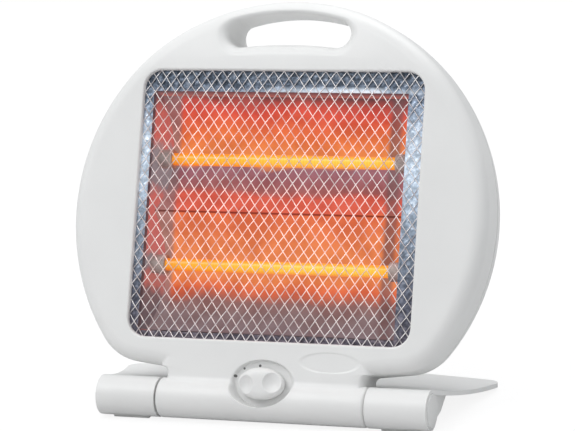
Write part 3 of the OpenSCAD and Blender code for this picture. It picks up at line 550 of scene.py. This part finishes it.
def back_depth(z):
    """Depth of the dome's flat part: deepest at mid height, shallower towards handle and belly."""
    up, down = np.clip(z - BACK_MID, 0, None), np.clip(BACK_MID - z, 0, None)
    return (BACK_DEPTH - TOP_RISE * (up / (TOP_Z - BACK_MID)) ** 2
            - BELLY_RISE * (down / BACK_MID) ** 2)


def rear_depth(x, z):
    """Depth of the rear cover: how far out a point lies on its ray from the centre gives the
    dome's angle, and the slot's edge is rolled."""
    ax, dz = np.abs(x), z - CENTRE_Z
    far = np.maximum(np.hypot(ax, dz), 1e-6)
    ux, uz = ax / far, dz / far
    cx, cz = CORNER[0], CORNER[1] - CENTRE_Z
    dot = ux * cx + uz * cz
    to_corner = dot + np.sqrt(np.maximum(dot ** 2 - cx ** 2 - cz ** 2 + CORNER[2] ** 2, 0))
    nx, nz = math.sin(BELLY), -math.cos(BELLY)
    to_belly = (CORNER[2] + nx * cx + nz * cz) / np.maximum(nx * ux + nz * uz, 1e-6)
    foot = outline()[0, 1] - CENTRE_Z
    to_belly = np.minimum(to_belly, np.where(uz < 0, foot / np.minimum(uz, -1e-6), 1e9))
    touch = np.degrees(np.arctan2(to_corner * uz - cz, to_corner * ux - cx))
    low = np.where(touch > math.degrees(BELLY) - 90, to_corner, to_belly)
    edge = np.where(np.degrees(np.arctan2(dz, ax)) >= CORNER_TOP, ROUND, low)
    turn = np.arccos(np.clip(1 - (1 - far / edge) / BACK_ROUND, 0, 1))
    y = FRONT_DEPTH + (back_depth(z) - FRONT_DEPTH) * np.sin(turn)
    return y - roll(np.maximum(off_slot(x, z)[0], 0), BACK_LIP)


def in_rings(x, z, rings):
    """True inside any of the rings, each tested as a convex outline."""
    inside = np.zeros(len(x), bool)
    for ring in rings:
        nxt = np.roll(ring, -1, 0)
        side = ((nxt[:, 0] - ring[:, 0]) * (z[:, None] - ring[:, 1])
                - (nxt[:, 1] - ring[:, 1]) * (x[:, None] - ring[:, 0]))
        inside |= (side > -1e-6).all(1)
    return inside


dome_rings = [outline(0, 1 - BACK_ROUND * (1 - math.cos(math.radians(t))))
              for t in (0, 4, 8, 13, 19, 26, 34, 42, 51, 60, 70, 80, 90)]
holes = [np.vstack([arc(x + VENT_HALF, z, VENT_R, -90, 90, 15),
                    arc(x - VENT_HALF, z, VENT_R, 90, 270, 15)])
         for z in VENT_ROWS for x in VENT_COLUMNS]
holes += [oval(x, z, SCREW_R, SCREW_R, 20) for x, z in SCREWS]
foot_z = outline()[0, 1]
flat, tris = meshed(dome_rings + [slot_ring(g) for g in (0, 0.3, 0.9, 1.6, BACK_LIP, 3.5)] + holes,
                    [[[-ROUND, z], [ROUND, z]] for z in np.arange(24, 276, 6.0)],
                    lambda x, z: (inside_by(x, z) > 0) & (z > foot_z) & ~in_slot(x, z)
                    & ~in_rings(x, z, holes))
rear = np.insert(flat, 1, rear_depth(*flat.T), axis=1)
tris = tris[:, ::-1]
edges = border(tris)
x, _, z = rear[edges].mean(1).T         # the middles of its borders' edges
around_slot = np.abs(off_slot(x, z)[0]) < 0.3
at_screw = np.any([np.hypot(x - sx, z - sz) < SCREW_R + 0.1 for sx, sz in SCREWS], axis=0)
at_rim = ~around_slot & ((inside_by(x, z) < 0.6) | (z < foot_z + 0.3))
at_vent = ~(around_slot | at_screw | at_rim)
rear[np.unique(edges[at_rim]), 1] = FRONT_DEPTH
# Its borders are carried forwards: the slot's wall and the rim's tongue into the front cover, the
# vents by the wall's thickness, and the screws' wells to their floors.
faces = [tris]
for part, rings in ((around_slot, [level(34), level(SLOT_MEET)]),
                    (at_rim, [level(28.05, -2.4), level(34, -2.6)]),
                    (at_vent, [deeper(-1.2), deeper(-1.2)]),
                    (at_screw, [level(33), level(32.2), level(32.1, -1.8)])):
    rear, quads = walls(rear, edges[part], rings, way=-1)
    faces.append(quads)
boss = [(36, 11.2), (61, 11), (63, 10.9), (64, 10.4), (64.5, 9.6), (64.5, 5.6), (58, 5.5)]
boss_points, boss_faces = turned(boss, (47, -70), "y", 48)
points, more = together((rear, no_faces), (boss_points, boss_faces[:, ::-1]))
build("rear_cover", from_housing(points), faces + more, white_plastic, "head",
      ("rear_housing",))

# ---- Grille ---------------------------------------------------------------------------------
# A fine net of bright nickel-plated wire in front of the tubes: two sets of slanted wires, woven
# and spot-welded where they cross, gathered in a thicker border wire behind the window's edge.
NET_W, NET_H = 7.55, 10.3   # width and height of one diamond
WIRE, BORDER = 0.36, 1.3    # wire radii
NET_Y, WEAVE = 3.1, 0.3     # the net's depth, and how far a wire weaves to each side of it
HIDDEN = 0.7                # how far a wire runs on behind the window's edge
WIRE_STEPS = 64             # points along a wire


def tube_along(paths, radius, sides=6, closed=False):
    """Round wires along paths (count, steps, 3): each step carries a ring of points, square to the
    path's direction. Open ends are left inside what holds them."""
    ahead = np.roll(paths, -1, 1) - np.roll(paths, 1, 1)
    if not closed:
        ahead[:, 0], ahead[:, -1] = paths[:, 1] - paths[:, 0], paths[:, -1] - paths[:, -2]
    ahead /= np.linalg.norm(ahead, axis=-1, keepdims=True)
    across = np.cross(ahead, (0, 1, 0))
    across /= np.linalg.norm(across, axis=-1, keepdims=True)
    over = np.cross(across, ahead)
    a = np.arange(sides) * 2 * np.pi / sides
    rings = (paths[:, :, None] + radius * (np.cos(a)[:, None] * across[:, :, None]
                                           + np.sin(a)[:, None] * over[:, :, None]))
    count, steps = paths.shape[:2]
    w, s, k = np.meshgrid(np.arange(count), np.arange(steps if closed else steps - 1),
                          np.arange(sides), indexing="ij")
    quads = [(w * steps + (s + ds) % steps) * sides + (k + dk) % sides
             for ds, dk in ((0, 0), (0, 1), (1, 1), (1, 0))]
    return rings.reshape(-1, 3), np.stack(quads, -1).reshape(-1, 4)


def net_wires(way):
    """Straight wires of one slant, cut off where they leave the window. Wire i passes through
    x = (i + way * t) * NET_W at t diamonds above the window's middle, and weaves by a cosine."""
    middle = (WINDOW[1] + WINDOW[2]) / 2
    wires = []
    for i in range(-50, 51):
        t = np.linspace(-20, 20, 4001)
        inside = off_window((i + way * t) * NET_W, middle + t * NET_H) < HIDDEN
        if inside.sum() < 60:
            continue
        t = np.linspace(t[inside][0], t[inside][-1], WIRE_STEPS)
        weave = way * WEAVE * np.cos(2 * np.pi * (t - way * i / 2)) * (-1.0) ** i
        wires.append(np.stack([(i + way * t) * NET_W, NET_Y + weave, middle + t * NET_H], 1))
    return np.array(wires)


def housing_place(tree):
    """Object coordinates turned back upright, in housing metres from the hinge axis: the place,
    and its X, Y and Z."""
    place = add(tree, "TexCoord").outputs["Object"]
    hinge = (0, AXLE[0] / 1000, AXLE[1] / 1000)
    upright = add(tree, "Mapping", {"Vector": place, "Location": hinge, "Rotation": (-LEAN, 0, 0)},
                  vector_type="TEXTURE")
    return upright, *add(tree, "SeparateXYZ", {0: upright}).outputs


def colour_along(tree, length, low, high, stops):
    """A colour that changes along a length, in metres, from low to high: stops are (millimetres,
    hex colour)."""
    share = add(tree, "MapRange", {"Value": length, "From Min": low / 1000,
                                   "From Max": high / 1000})
    return add(tree, "ValToRGB", {"Fac": share},
               stops=[((mm - low) / (high - low), colour) for mm, colour in stops])


def shaded(tree, light, *shades):
    """A light or colour dimmed by shades: all multiplied by each other."""
    for shade in shades:
        light = add(tree, "Mix", {"Factor": 1.0, 6: light, 7: shade},
                    data_type="RGBA", blend_type="MULTIPLY").outputs[2]
    return light


def bright_wire(name):
    """Nickel-plated steel wire: a bright grey with faint drawing marks, and a painted glow of the
    fire behind it as emission, most where a tube passes behind, with painted shade at both ends and
    towards the top and the bottom."""
    made, tree = surface_material(name)
    upright, x, _, z = housing_place(tree)
    # The drawing marks are about 6 mm long, coarser than real ones so that they show.
    mark = add(tree, "TexNoise", {"Vector": upright, "Scale": 160.0, "Detail": 2.0})
    tone = add(tree, "ValToRGB", {"Fac": mark}, stops=((0.35, "#BDB8BA"), (0.62, "#F8F5F4")))
    # Painted glow of the fire behind the net, by height, darker towards the top and the bottom.
    painted_fire_glow = colour_along(tree, z, 40, 215, (
        (40, "#4A4448"), (60, "#4A383A"), (70, "#6E4844"), (80, "#B06656"), (85, "#B86C54"),
        (87, "#8E5424"), (93, "#8E5424"), (95, "#B86C54"), (125, "#AE6656"), (142, "#A85E56"),
        (149, "#5C4448"), (158, "#5C4450"), (160, "#8E5424"), (167, "#8E5424"), (169, "#B86A50"),
        (195, "#A85A50"), (206, "#6A4440"), (213, "#1C1A1E")))
    # Painted shade: dimmer where the ceramics stand behind, and dark beyond the pan's walls.
    inside = colour_along(tree, x, -105, 105, (
        (-105, "#202024"), (-96.6, "#282830"), (-93.45, "#A89094"), (-77.7, "#B0A2A4"),
        (-74.55, "#FFFFFF"), (75.6, "#FFFFFF"), (78.75, "#A08C90"), (89.25, "#98888C"),
        (92.4, "#404048"), (105, "#282830")))
    skin = add(tree, "BsdfPrincipled", {
        "Base Color": tone, "Metallic": 0.7, "Roughness": 0.34,
        "Emission Color": shaded(tree, painted_fire_glow, inside), "Emission Strength": 1.0})
    add(tree, "OutputMaterial", {"Surface": skin})
    return made


edge_wire = np.insert(window_ring(0.9), 1, NET_Y + 0.2, axis=1)
points, faces = together(tube_along(net_wires(1), WIRE), tube_along(net_wires(-1), WIRE),
                         tube_along(edge_wire[None], BORDER, 8, closed=True))
build("wire_net", from_housing(points), faces, bright_wire("nickel_plated_wire"), "head",
      ("grille",), crease=80)

# ---- Reflector frame and pan ----------------------------------------------------------------
# Stucco-embossed aluminium sheet, folded into a flange behind the net and four walls round the
# fire. The embossing breaks up the daylight in blue-white flecks, painted as glints in the sheet's
# colour.
PAN_X0, PAN_X1 = -95.55, 89.95      # left and right wall
PAN_LOW, PAN_HIGH, PAN_DEPTH = 45.0, 211.5, 32.0
FLANGE_X, FLANGE_LOW, FLANGE_HIGH, FLANGE_Y = 105.0, 37.6, 229.0, 4.0
EMBOSSING, RELIEF, GRID = 3.4, 0.14, 0.9    # width and height of the pattern, and the mesh's step
GOLDEN_ANGLE = 2.399963     # in radians; its multiples spread evenly over all directions


def stucco(u, v, size):
    """Embossed relief, -1 to 1: twelve waves of about one size in fixed, spread directions."""
    relief = np.zeros(np.broadcast(u, v).shape)
    for i in range(12):
        turn, wave = GOLDEN_ANGLE * i, 2 * np.pi / (size * (0.7 + 0.07 * i))
        relief = relief + np.sin(wave * (u * math.cos(turn) + v * math.sin(turn)) + 1.7 * i * i)
    return np.clip(relief / 4.5, -1, 1)


def grid_quads(rows, columns):
    """Quads between the points of a grid of rows and columns."""
    r, c = np.meshgrid(np.arange(rows - 1), np.arange(columns - 1), indexing="ij")
    at = r * columns + c
    return np.stack([at, at + columns, at + columns + 1, at + 1], -1).reshape(-1, 4)


def sheet(corner, along, across, out):
    """A flat embossed strip: corner + u * along + v * across, raised along out by the relief, which
    fades at the strip's edges."""
    corner, along, across, out = (np.asarray(v, float) for v in (corner, along, across, out))
    lu, lv = np.linalg.norm(along), np.linalg.norm(across)
    u, v = np.meshgrid(np.linspace(0, 1, int(lu / GRID) + 2), np.linspace(0, 1, int(lv / GRID) + 2),
                       indexing="ij")
    fade = np.clip(0.75 * np.minimum(np.minimum(u, 1 - u) * lu, np.minimum(v, 1 - v) * lv), 0, 1)
    rise = RELIEF * fade * stucco(u * lu + corner[0] + corner[2], v * lv + corner[1], EMBOSSING)
    points = corner + u[..., None] * along + v[..., None] * across + rise[..., None] * out
    quads = grid_quads(*u.shape)
    if np.dot(np.cross(along, across), out) < 0:
        quads = quads[:, ::-1]
    return points.reshape(-1, 3), quads


pan_w, pan_h, flange_h = PAN_X1 - PAN_X0, PAN_HIGH - PAN_LOW, FLANGE_HIGH - FLANGE_LOW
flange = [sheet((x, FLANGE_Y, z), (w, 0, 0), (0, 0, h), (0, -1, 0)) for x, z, w, h in (
    (-FLANGE_X, FLANGE_LOW, FLANGE_X + PAN_X0, flange_h),
    (PAN_X1, FLANGE_LOW, FLANGE_X - PAN_X1, flange_h),
    (PAN_X0, FLANGE_LOW, pan_w, PAN_LOW - FLANGE_LOW),
    (PAN_X0, PAN_HIGH, pan_w, FLANGE_HIGH - PAN_HIGH))]
depth = (0, PAN_DEPTH - FLANGE_Y, 0)
pan = [sheet((x, FLANGE_Y, z), depth, across, out) for x, z, across, out in (
    (PAN_X0, PAN_LOW, (0, 0, pan_h), (1, 0, 0)), (PAN_X1, PAN_LOW, (0, 0, pan_h), (-1, 0, 0)),
    (PAN_X0, PAN_LOW, (pan_w, 0, 0), (0, 0, 1)), (PAN_X0, PAN_HIGH, (pan_w, 0, 0), (0, 0, -1)))]


def embossed_aluminium(name, glow, strength, glint_tones, metallic=0.6, rough=0.32):
    """Rolled aluminium, stucco embossed: bright blue-white flecks on grey, which are painted
    glints, darkened by painted shade towards the bottom and the top. glow(tree, upright, x, y, z)
    gives the colour of the fire that the sheet throws back, painted as emission."""
    made, tree = surface_material(name)
    upright, x, y, z = housing_place(tree)
    # The painted glints are about 3 mm across, as the embossing is.
    cells = add(tree, "TexNoise", {"Vector": upright, "Scale": 330.0, "Detail": 2.0,
                                   "Distortion": 0.5})
    painted_glints = add(tree, "ValToRGB", {"Fac": cells}, stops=tuple(zip((0.32, 0.46, 0.58, 0.72), glint_tones)))
    # Painted shade and light by height: darkest at the bottom, brightest at about 180 mm and darker
    # again at the top.
    shade = colour_along(tree, z, 37, 229, (
        (37, "#8C7C80"), (60.04, "#94909A"), (100.36, "#B4BAC4"), (142.6, "#E6EEF6"),
        (179.08, "#FFFFFF"), (202.12, "#D0DAE8"), (210.76, "#B4BCC8"), (214.6, "#9098A4"),
        (229, "#80868F")))
    skin = add(tree, "BsdfPrincipled", {
        "Base Color": shaded(tree, painted_glints, shade), "Metallic": metallic, "Roughness": rough,
        "Emission Color": glow(tree, upright, x, y, z), "Emission Strength": strength})
    add(tree, "OutputMaterial", {"Surface": skin})
    return made


def frame_glow(tree, upright, x, y, z):
    """The flange is cold and catches only daylight, painted as emission: most at mid height, and a
    painted highlight along the fold over the fire's right half."""
    painted_daylight = colour_along(tree, z, 40, 230, (
        (40, "#2A2226"), (78, "#302E34"), (119.8, "#666E78"), (157.8, "#AAB6C2"),
        (184.4, "#98A4B2"), (203.4, "#30363E"), (211, "#1E2024"), (211.57, "#FFFFFF"),
        (213.28, "#E8F0F8"), (215.75, "#1E2024"), (230, "#16181A")))
    # The noise moves the bright part's left end by up to 70 mm, 35 on average.
    wave = add(tree, "TexNoise", {"Vector": upright, "Scale": 70.0, "Detail": 3.0})
    shift = add(tree, "Math", {0: wave, 1: 0.07, 2: x}, operation="MULTIPLY_ADD")
    right = colour_along(tree, shift, -70, 145, (
        (-70, "#3C3C40"), (20.3, "#4A4A50"), (50.4, "#E8ECF0"), (97.7, "#FFFFFF"),
        (123.5, "#9098A0")))
    high = add(tree, "MapRange", {"Value": z, "From Min": 0.205, "From Max": 0.2115})
    part = add(tree, "Mix", {"Factor": high, 6: linear("#FFFFFF"), 7: right}, data_type="RGBA")
    return shaded(tree, painted_daylight, part.outputs[2])


def wall_glow(tree, upright, x, y, z):
    """Painted firelight on the pan's walls, as emission: red beside the tubes, and painted shade
    that darkens them at their front edges.
    """
    return colour_along(tree, y, 0, 26, (
        (0, "#4A4044"), (7.8, "#8A5C5C"), (15.6, "#B06A64"), (26, "#B8665C")))


# One aluminium in two copies: the flange's with bright glint tones, the walls' with dark ones,
# which are painted shade inside the pan.
flange_metal = embossed_aluminium("stucco_aluminium_flange", frame_glow, 0.75,
                                  ("#6A737D", "#98A3AF", "#C2CCD8", "#FAFCFF"))
wall_metal_in_painted_shade = embossed_aluminium("stucco_aluminium_walls", wall_glow, 0.75,
                                ("#241C1E", "#3A3032", "#5A4C50", "#8A7C80"))
for name, strips, metal, stands_for in (("reflector_flange", flange, flange_metal, ()),
                                        ("reflector_walls", pan, wall_metal_in_painted_shade, ("reflector_frame",))):
    points, faces = together(*strips)
    build(name, from_housing(points), faces, metal, "head", stands_for)

# ---- Reflector ------------------------------------------------------------------------------
# Two polished troughs, one behind each tube, pressed from one aluminium sheet with a folded seam
# between them. In use they are filled with the tubes' red-orange light, painted on them as
# emission, with painted shade in the seam's fold and at both ends.
SEAM_Z, SEAM_Y, TROUGH = 129.5, 17.0, 28.0  # the fold's height and depth, and a trough's depth
TROUGH_LOW, TROUGH_HIGH = PAN_LOW + 1.5, PAN_HIGH - 1.5


def trough_depth(z):
    """Depth of the two troughs: a parabola below the seam and one above it."""
    below = (z - (TROUGH_LOW + SEAM_Z) / 2) / ((SEAM_Z - TROUGH_LOW) / 2)
    above = (z - (TROUGH_HIGH + SEAM_Z) / 2) / ((TROUGH_HIGH - SEAM_Z) / 2)
    return SEAM_Y + TROUGH * (1 - np.where(z < SEAM_Z, below, above) ** 2)


def fire_glow(tree, upright, x, y, z):
    """Painted firelight, as bands by height: orange round each tube, red towards the seam, the top
    and the bottom, clouded by the uneven sheet, with a painted dark line in the seam's fold, and
    painted shade at both ends, where the ceramics shade it."""
    # The bands waver by up to 7 mm over some 40 mm, and the sheet's clouds are 17 mm across.
    sway = add(tree, "TexNoise", {"Vector": upright, "Scale": 26.0, "Detail": 3.0})
    shift = add(tree, "Math", {0: sway, 1: 0.5}, operation="SUBTRACT")
    moved = add(tree, "Math", {0: shift, 1: 0.014, 2: z}, operation="MULTIPLY_ADD")
    band = colour_along(tree, moved, 45, 212, (
        (46, "#7A6E74"), (60, "#7C686A"), (69, "#8A6462"), (74, "#C0644E"), (79, "#E46A42"),
        (86, "#EC8448"), (101, "#EC8850"), (113, "#EA8250"), (129, "#E67046"), (130, "#E0624A"),
        (142, "#D85A48"), (147, "#A05E5E"), (163.5, "#96606E"), (166, "#D88050"), (174, "#EE8A48"),
        (186, "#EA7440"), (200, "#E05444"), (205, "#C05048"), (210, "#6A4448")))
    # The painted shade at the ends slants by 20 degrees with depth, along the camera's line of
    # sight.
    slant = add(tree, "Math", {0: y, 1: 0.366, 2: x}, operation="MULTIPLY_ADD")
    ends = colour_along(tree, slant, -94, 91.5, (
        (-94, "#E0E0E0"), (-77.305, "#E0E0E0"), (-74.5225, "#000000"), (77.5875, "#000000"),
        (80.37, "#E0E0E0"), (85.935, "#D8D8D8"), (88.7175, "#606060"), (91.5, "#404040")))
    # The colour of that painted shade, greyer on the left than on the right.
    painted_end_shade = colour_along(tree, slant, -94, 91.5, ((-19.8, "#857476"), (17.3, "#6C5254")))
    both = add(tree, "Mix", {"Factor": ends, 6: band, 7: painted_end_shade}, data_type="RGBA")
    # Painted shade: a dark line along the fold of the seam.
    painted_fold_shade = colour_along(tree, z, 45, 212, (
        (128.7, "#FFFFFF"), (129.2, "#94685C"), (129.8, "#94685C"), (130.3, "#FFFFFF")))
    patch = add(tree, "TexNoise", {"Vector": upright, "Scale": 60.0, "Detail": 3.0})
    cloud = add(tree, "ValToRGB", {"Fac": patch}, stops=((0.35, "#E6D8D6"), (0.65, "#FFFFFF")))
    return shaded(tree, both.outputs[2], cloud, painted_fold_shade)


z = np.sort(np.concatenate([np.linspace(TROUGH_LOW, TROUGH_HIGH, 150),
                            [SEAM_Z - 0.4, SEAM_Z, SEAM_Z + 0.4]]))
gx, gz = np.meshgrid(np.linspace(PAN_X0 + 1, PAN_X1 - 1, 150), z, indexing="ij")
points = np.stack([gx, trough_depth(gz) + 0.04 * stucco(gx, gz, 16.0), gz], -1).reshape(-1, 3)
# The polished sheet is drawn dark, rough and not metallic, a painted dark reflection under the
# fire's painted light.
mirror = embossed_aluminium("polished_aluminium_in_firelight", fire_glow, 1.0,
                            ("#1C1212", "#241818", "#302020", "#3C2A2A"), 0.0, 0.6)
build("reflector_troughs", from_housing(points), [grid_quads(*gx.shape)], mirror, "head",
      ("reflector",), crease=50)

# ---- Heating tubes --------------------------------------------------------------------------
# Clear quartz tubes whose glowing coil fills them with yellow light: brightest along the middle,
# orange at the upper and lower edge and at both cooler ends. The coil's turns show as a ripple.
TUBE_R, TUBE_WALL, TUBE_Y = 4.3, 0.9, 22.0


def glowing_quartz(name, height_mm):
    """Quartz in front of a red-hot coil: a light that falls off from the tube's own height."""
    made, tree = surface_material(name)
    upright, x, _, z = housing_place(tree)
    off = add(tree, "Math", {0: z, 1: height_mm / 1000}, operation="SUBTRACT")
    size = add(tree, "Math", {0: off}, operation="ABSOLUTE")
    across = colour_along(tree, size, 0, TUBE_R, (
        (0, "#FFD650"), (0.5 * TUBE_R, "#FFC846"), (0.85 * TUBE_R, "#F6AC44"), (TUBE_R, "#EA8A48")))
    length = colour_along(tree, x, -95.5, 90, (
        (-95.5, "#C9A08A"), (-86.225, "#E8B890"), (-73.24, "#FFD9A8"), (-39.85, "#FFE8C0"),
        (6.525, "#FFFFFF"), (62.175, "#FFFFFF"), (80.725, "#FFE0B0"), (90, "#D8A080")))
    # The coil's turns are 2 mm apart, wider than real ones so that they show.
    turns = add(tree, "TexWave", {"Vector": upright, "Scale": 150.0, "Distortion": 3.0,
                                  "Detail": 2.0}, wave_type="BANDS", bands_direction="X")
    ripple = add(tree, "ValToRGB", {"Fac": turns.outputs["Fac"]},
                 stops=((0.0, "#FBF0E6"), (1.0, "#FFFFFF")))
    skin = add(tree, "BsdfPrincipled", {
        "Base Color": linear("#3A1C10"), "Roughness": 0.12, "IOR": 1.46,
        "Emission Color": shaded(tree, across, length, ripple), "Emission Strength": 1.0})
    add(tree, "OutputMaterial", {"Surface": skin})
    return made


left, right = PAN_X0 + 0.2, PAN_X1 - 0.2
wall = [(left, TUBE_R - TUBE_WALL), (left, TUBE_R), (right, TUBE_R), (right, TUBE_R - TUBE_WALL),
        (left, TUBE_R - TUBE_WALL)]
for name, node, z in (("lower_glowing_tube", "lower_tube", 92.6),
                      ("upper_glowing_tube", "upper_tube", 166.2)):
    points, faces = turned(wall, (TUBE_Y, z), "x", 40)
    build(name, from_housing(points), [faces], glowing_quartz("quartz_" + node, z), "head",
          (node,))

# ---- Knob -----------------------------------------------------------------------------------
# White moulded knob, an oval dome with two finger hollows and a broad ridge between them that
# points the way. It pushes on to the switch's shaft.
KNOB_A, KNOB_B = 16.4, 10.9                         # half width and half height
KNOB_TOP, KNOB_SIDE, KNOB_BACK = -6.5, -1.5, 2.2    # depths of its top, shoulder and back
HOLLOWS = ((9.0, 0.9, 6.4, 6.7, 3.0), (-9.6, -1.2, 5.2, 6.3, 2.8))  # middle, half sizes, depth
HOLLOW_FLOOR = KNOB_SIDE + 1.6                      # neither hollow goes deeper than this
RINGS, SPOKES = 64, 160


def knob_face(x, z):
    """Depth of the dome less its two hollows, at x and z from the shaft."""
    s = np.clip(np.hypot(x / KNOB_A, z / KNOB_B), 0, 1)
    y = KNOB_SIDE + (KNOB_TOP - KNOB_SIDE) * (1 - s ** 5) ** 0.5
    for cx, cz, rx, rz, deep in HOLLOWS:
        q = np.hypot((x - cx) / rx, (z - cz) / rz)
        y = y + deep * np.clip(1 - q * q, 0, 1) ** 0.85
    return np.minimum(y, HOLLOW_FLOOR)


s = np.sin(np.linspace(0, np.pi / 2, RINGS))[1:, None]
a = np.radians(np.arange(SPOKES) * 360 / SPOKES)
gx, gz = KNOB_A * s * np.cos(a), KNOB_B * s * np.sin(a)
dome = np.stack([gx, knob_face(gx, gz), gz], -1)
skirt = [np.stack([KNOB_A * k * np.cos(a), np.full(SPOKES, y), KNOB_B * k * np.sin(a)], -1)
         for y, k in ((0.4, 0.985), (KNOB_BACK - 0.3, 0.965), (KNOB_BACK, 0.95), (KNOB_BACK, 0.5))]
points = np.vstack([[(0, knob_face(0.0, 0.0), 0)], dome.reshape(-1, 3)] + skirt) + (0, 0, DISH_Z)
r, c = np.meshgrid(np.arange(RINGS + 2), np.arange(SPOKES), indexing="ij")
near, far = 1 + r * SPOKES + c, 1 + r * SPOKES + (c + 1) % SPOKES
quads = np.stack([near, far, far + SPOKES, near + SPOKES], -1).reshape(-1, 4)
middle = np.stack([np.zeros(SPOKES, int), near[0] % SPOKES + 1, near[0]], -1)
build("finger_knob", from_housing(points), [quads[:, ::-1], middle[:, ::-1]], white_plastic, "knob",
      ("knob",), crease=44)

# ---- Dial dots ------------------------------------------------------------------------------
# Three grey ink dots pad-printed on the dish beside the knob, one for each place of the switch.
ink, tree = surface_material("grey_pad_print_ink")
grain = add(tree, "TexNoise", {"Vector": add(tree, "TexCoord").outputs["Object"], "Scale": 900.0})
grey = add(tree, "ValToRGB", {"Fac": grain}, stops=((0.3, "#5C5C5C"), (0.7, "#747474")))
skin = add(tree, "BsdfPrincipled", {"Base Color": grey, "Roughness": 0.55})
add(tree, "OutputMaterial", {"Surface": skin})
INK, dots = 0.06, []                    # the ink's thickness
for x, z, size in ((-20.2, 16.6, 1.0), (-14.5, 22.0, 0.8), (-3.3, 24.3, 0.95)):
    spot = np.vstack([[(x, z)], oval(x, z, size, size, 20)])
    points = np.insert(spot, 1, cover_depth(*spot.T) - INK, axis=1)
    k = 1 + np.arange(20)
    dots.append((points, np.stack([np.zeros_like(k), k, 1 + k % 20], -1)))
points, faces = together(*dots)
build("dial_dots", from_housing(points), faces, ink, "head")

# ---- CAD pieces that keep their shape -------------------------------------------------------
# Small turned, pressed and moulded pieces whose source solids are already exact. Each keeps its
# mesh, is welded and shaded smooth by a modifier, and gets its own finish.
smoothing = bpy.data.node_groups.new("weld_and_smooth", "GeometryNodeTree")
smoothing.interface.new_socket("Geometry", in_out="INPUT", socket_type="NodeSocketGeometry")
smoothing.interface.new_socket("Geometry", in_out="OUTPUT", socket_type="NodeSocketGeometry")
start = add(smoothing, "NodeGroupInput")
weld = add(smoothing, "GeometryNodeMergeByDistance", {"Geometry": start, "Distance": 2e-6})
whole = add(smoothing, "GeometryNodeSetShadeSmooth", {"Geometry": weld,
                                                      "Shade Smooth": True}, domain="FACE")
angle = add(smoothing, "GeometryNodeInputMeshEdgeAngle")
sharp = add(smoothing, "FunctionNodeCompare", {0: angle.outputs["Unsigned Angle"],
                                               1: math.radians(32)},
            data_type="FLOAT", operation="GREATER_THAN")
split = add(smoothing, "GeometryNodeSetShadeSmooth", {
    "Geometry": whole, "Selection": sharp, "Shade Smooth": False}, domain="EDGE")
add(smoothing, "NodeGroupOutput", {0: split})


def solid_finish(name, colour, shade, rough, metallic=0.0, scale=120.0, bump=0.0):
    """A finish with two tones that drift into each other, an uneven roughness and a fine relief."""
    made, tree = surface_material(name)
    place = add(tree, "TexCoord").outputs["Object"]
    drift = add(tree, "TexNoise", {"Vector": place, "Scale": scale, "Detail": 3.0})
    tone = add(tree, "ValToRGB", {"Fac": drift}, stops=((0.35, shade), (0.65, colour)))
    gloss = add(tree, "MapRange", {
        "Value": drift, "To Min": max(rough - 0.07, 0.03), "To Max": rough + 0.07})
    look = {"Base Color": tone, "Roughness": gloss, "Metallic": metallic, "IOR": 1.5}
    if bump:
        look["Normal"] = add(tree, "Bump", {"Height": drift, "Strength": 0.4,
                                            "Distance": bump / 1000})
    add(tree, "OutputMaterial", {"Surface": add(tree, "BsdfPrincipled", look)})
    return made


def end_glow(tree, upright, x, y, z):
    """Painted light on the end plates, as emission: grey painted shade where a tube's ceramic
    screens them, and red firelight between. The noise moves the bands by up to 20 mm, 10 on
    average."""
    sway = add(tree, "TexNoise", {"Vector": upright, "Scale": 90.0, "Detail": 3.0})
    moved = add(tree, "Math", {0: sway, 1: 0.02, 2: z}, operation="MULTIPLY_ADD")
    return colour_along(tree, moved, 55, 222, (
        (56, "#5E5256"), (82, "#6E585A"), (89, "#B0645E"), (96, "#A8625E"), (101, "#847A7E"),
        (108, "#86787A"), (114, "#BE6460"), (148, "#C4625A"), (157, "#84767A"), (182, "#8A8084"),
        (190, "#C2605A"), (210, "#BE5E56"), (220, "#704A4C")))


hot_wire, tree = surface_material("red_hot_heating_wire")
light = add(tree, "Emission", {"Color": linear("#FFB54A"), "Strength": 1.3})
add(tree, "OutputMaterial", {"Surface": light})
finishes = (
    # The end plates' dark glint tones are painted shade.
    (embossed_aluminium("aluminised_end_plate", end_glow, 0.9,
                        ("#241C1E", "#3A3032", "#4A3E40", "#5E5254"), 0.2, 0.5),
     ("end_plate_left", "end_plate_right")),
    (solid_finish("unglazed_steatite_ceramic", "#C9C2BD", "#A79E9A", 0.6, bump=0.05),
     ("tube_caps_left", "tube_caps_right")),
    (hot_wire, ("upper_coil", "lower_coil")),
    (solid_finish("zinc_plated_steel", "#C4C7C9", "#A9ADB0", 0.34, metallic=1.0),
     ("lead_pins", "switch_shaft", "tip_weight", "housing_screws", "pan_screws", "hinge_pins")),
    (solid_finish("galvanised_sheet", "#B7BBBE", "#9EA3A7", 0.42, metallic=1.0, scale=90),
     ("bracket_left", "bracket_right", "heat_shield")),
    (solid_finish("black_phenolic_resin", "#2A2A2B", "#1E1E1F", 0.45, bump=0.03),
     ("thermal_cutout", "rotary_switch", "tip_switch_case")),
    (solid_finish("black_pvc_rubber", "#262627", "#1B1B1C", 0.62, bump=0.05), ("cord_grommet",)),
    (solid_finish("pale_grey_rubber", "#EDEDEB", "#E2E2E0", 0.7, bump=0.05), ("stand_feet",)),
    (solid_finish("natural_nylon", "#DAD8CF", "#CECBC0", 0.45, bump=0.02),
     ("terminal_block", "hinge_bushes", "friction_washers")),
    (white_plastic, ("stand_base", "barrel_caps")))
for finish, nodes in finishes:
    for name in nodes:
        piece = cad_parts[name]
        piece.data.materials.clear()
        piece.data.materials.append(finish)
        piece.modifiers.new("weld_and_smooth", "NODES").node_group = smoothing
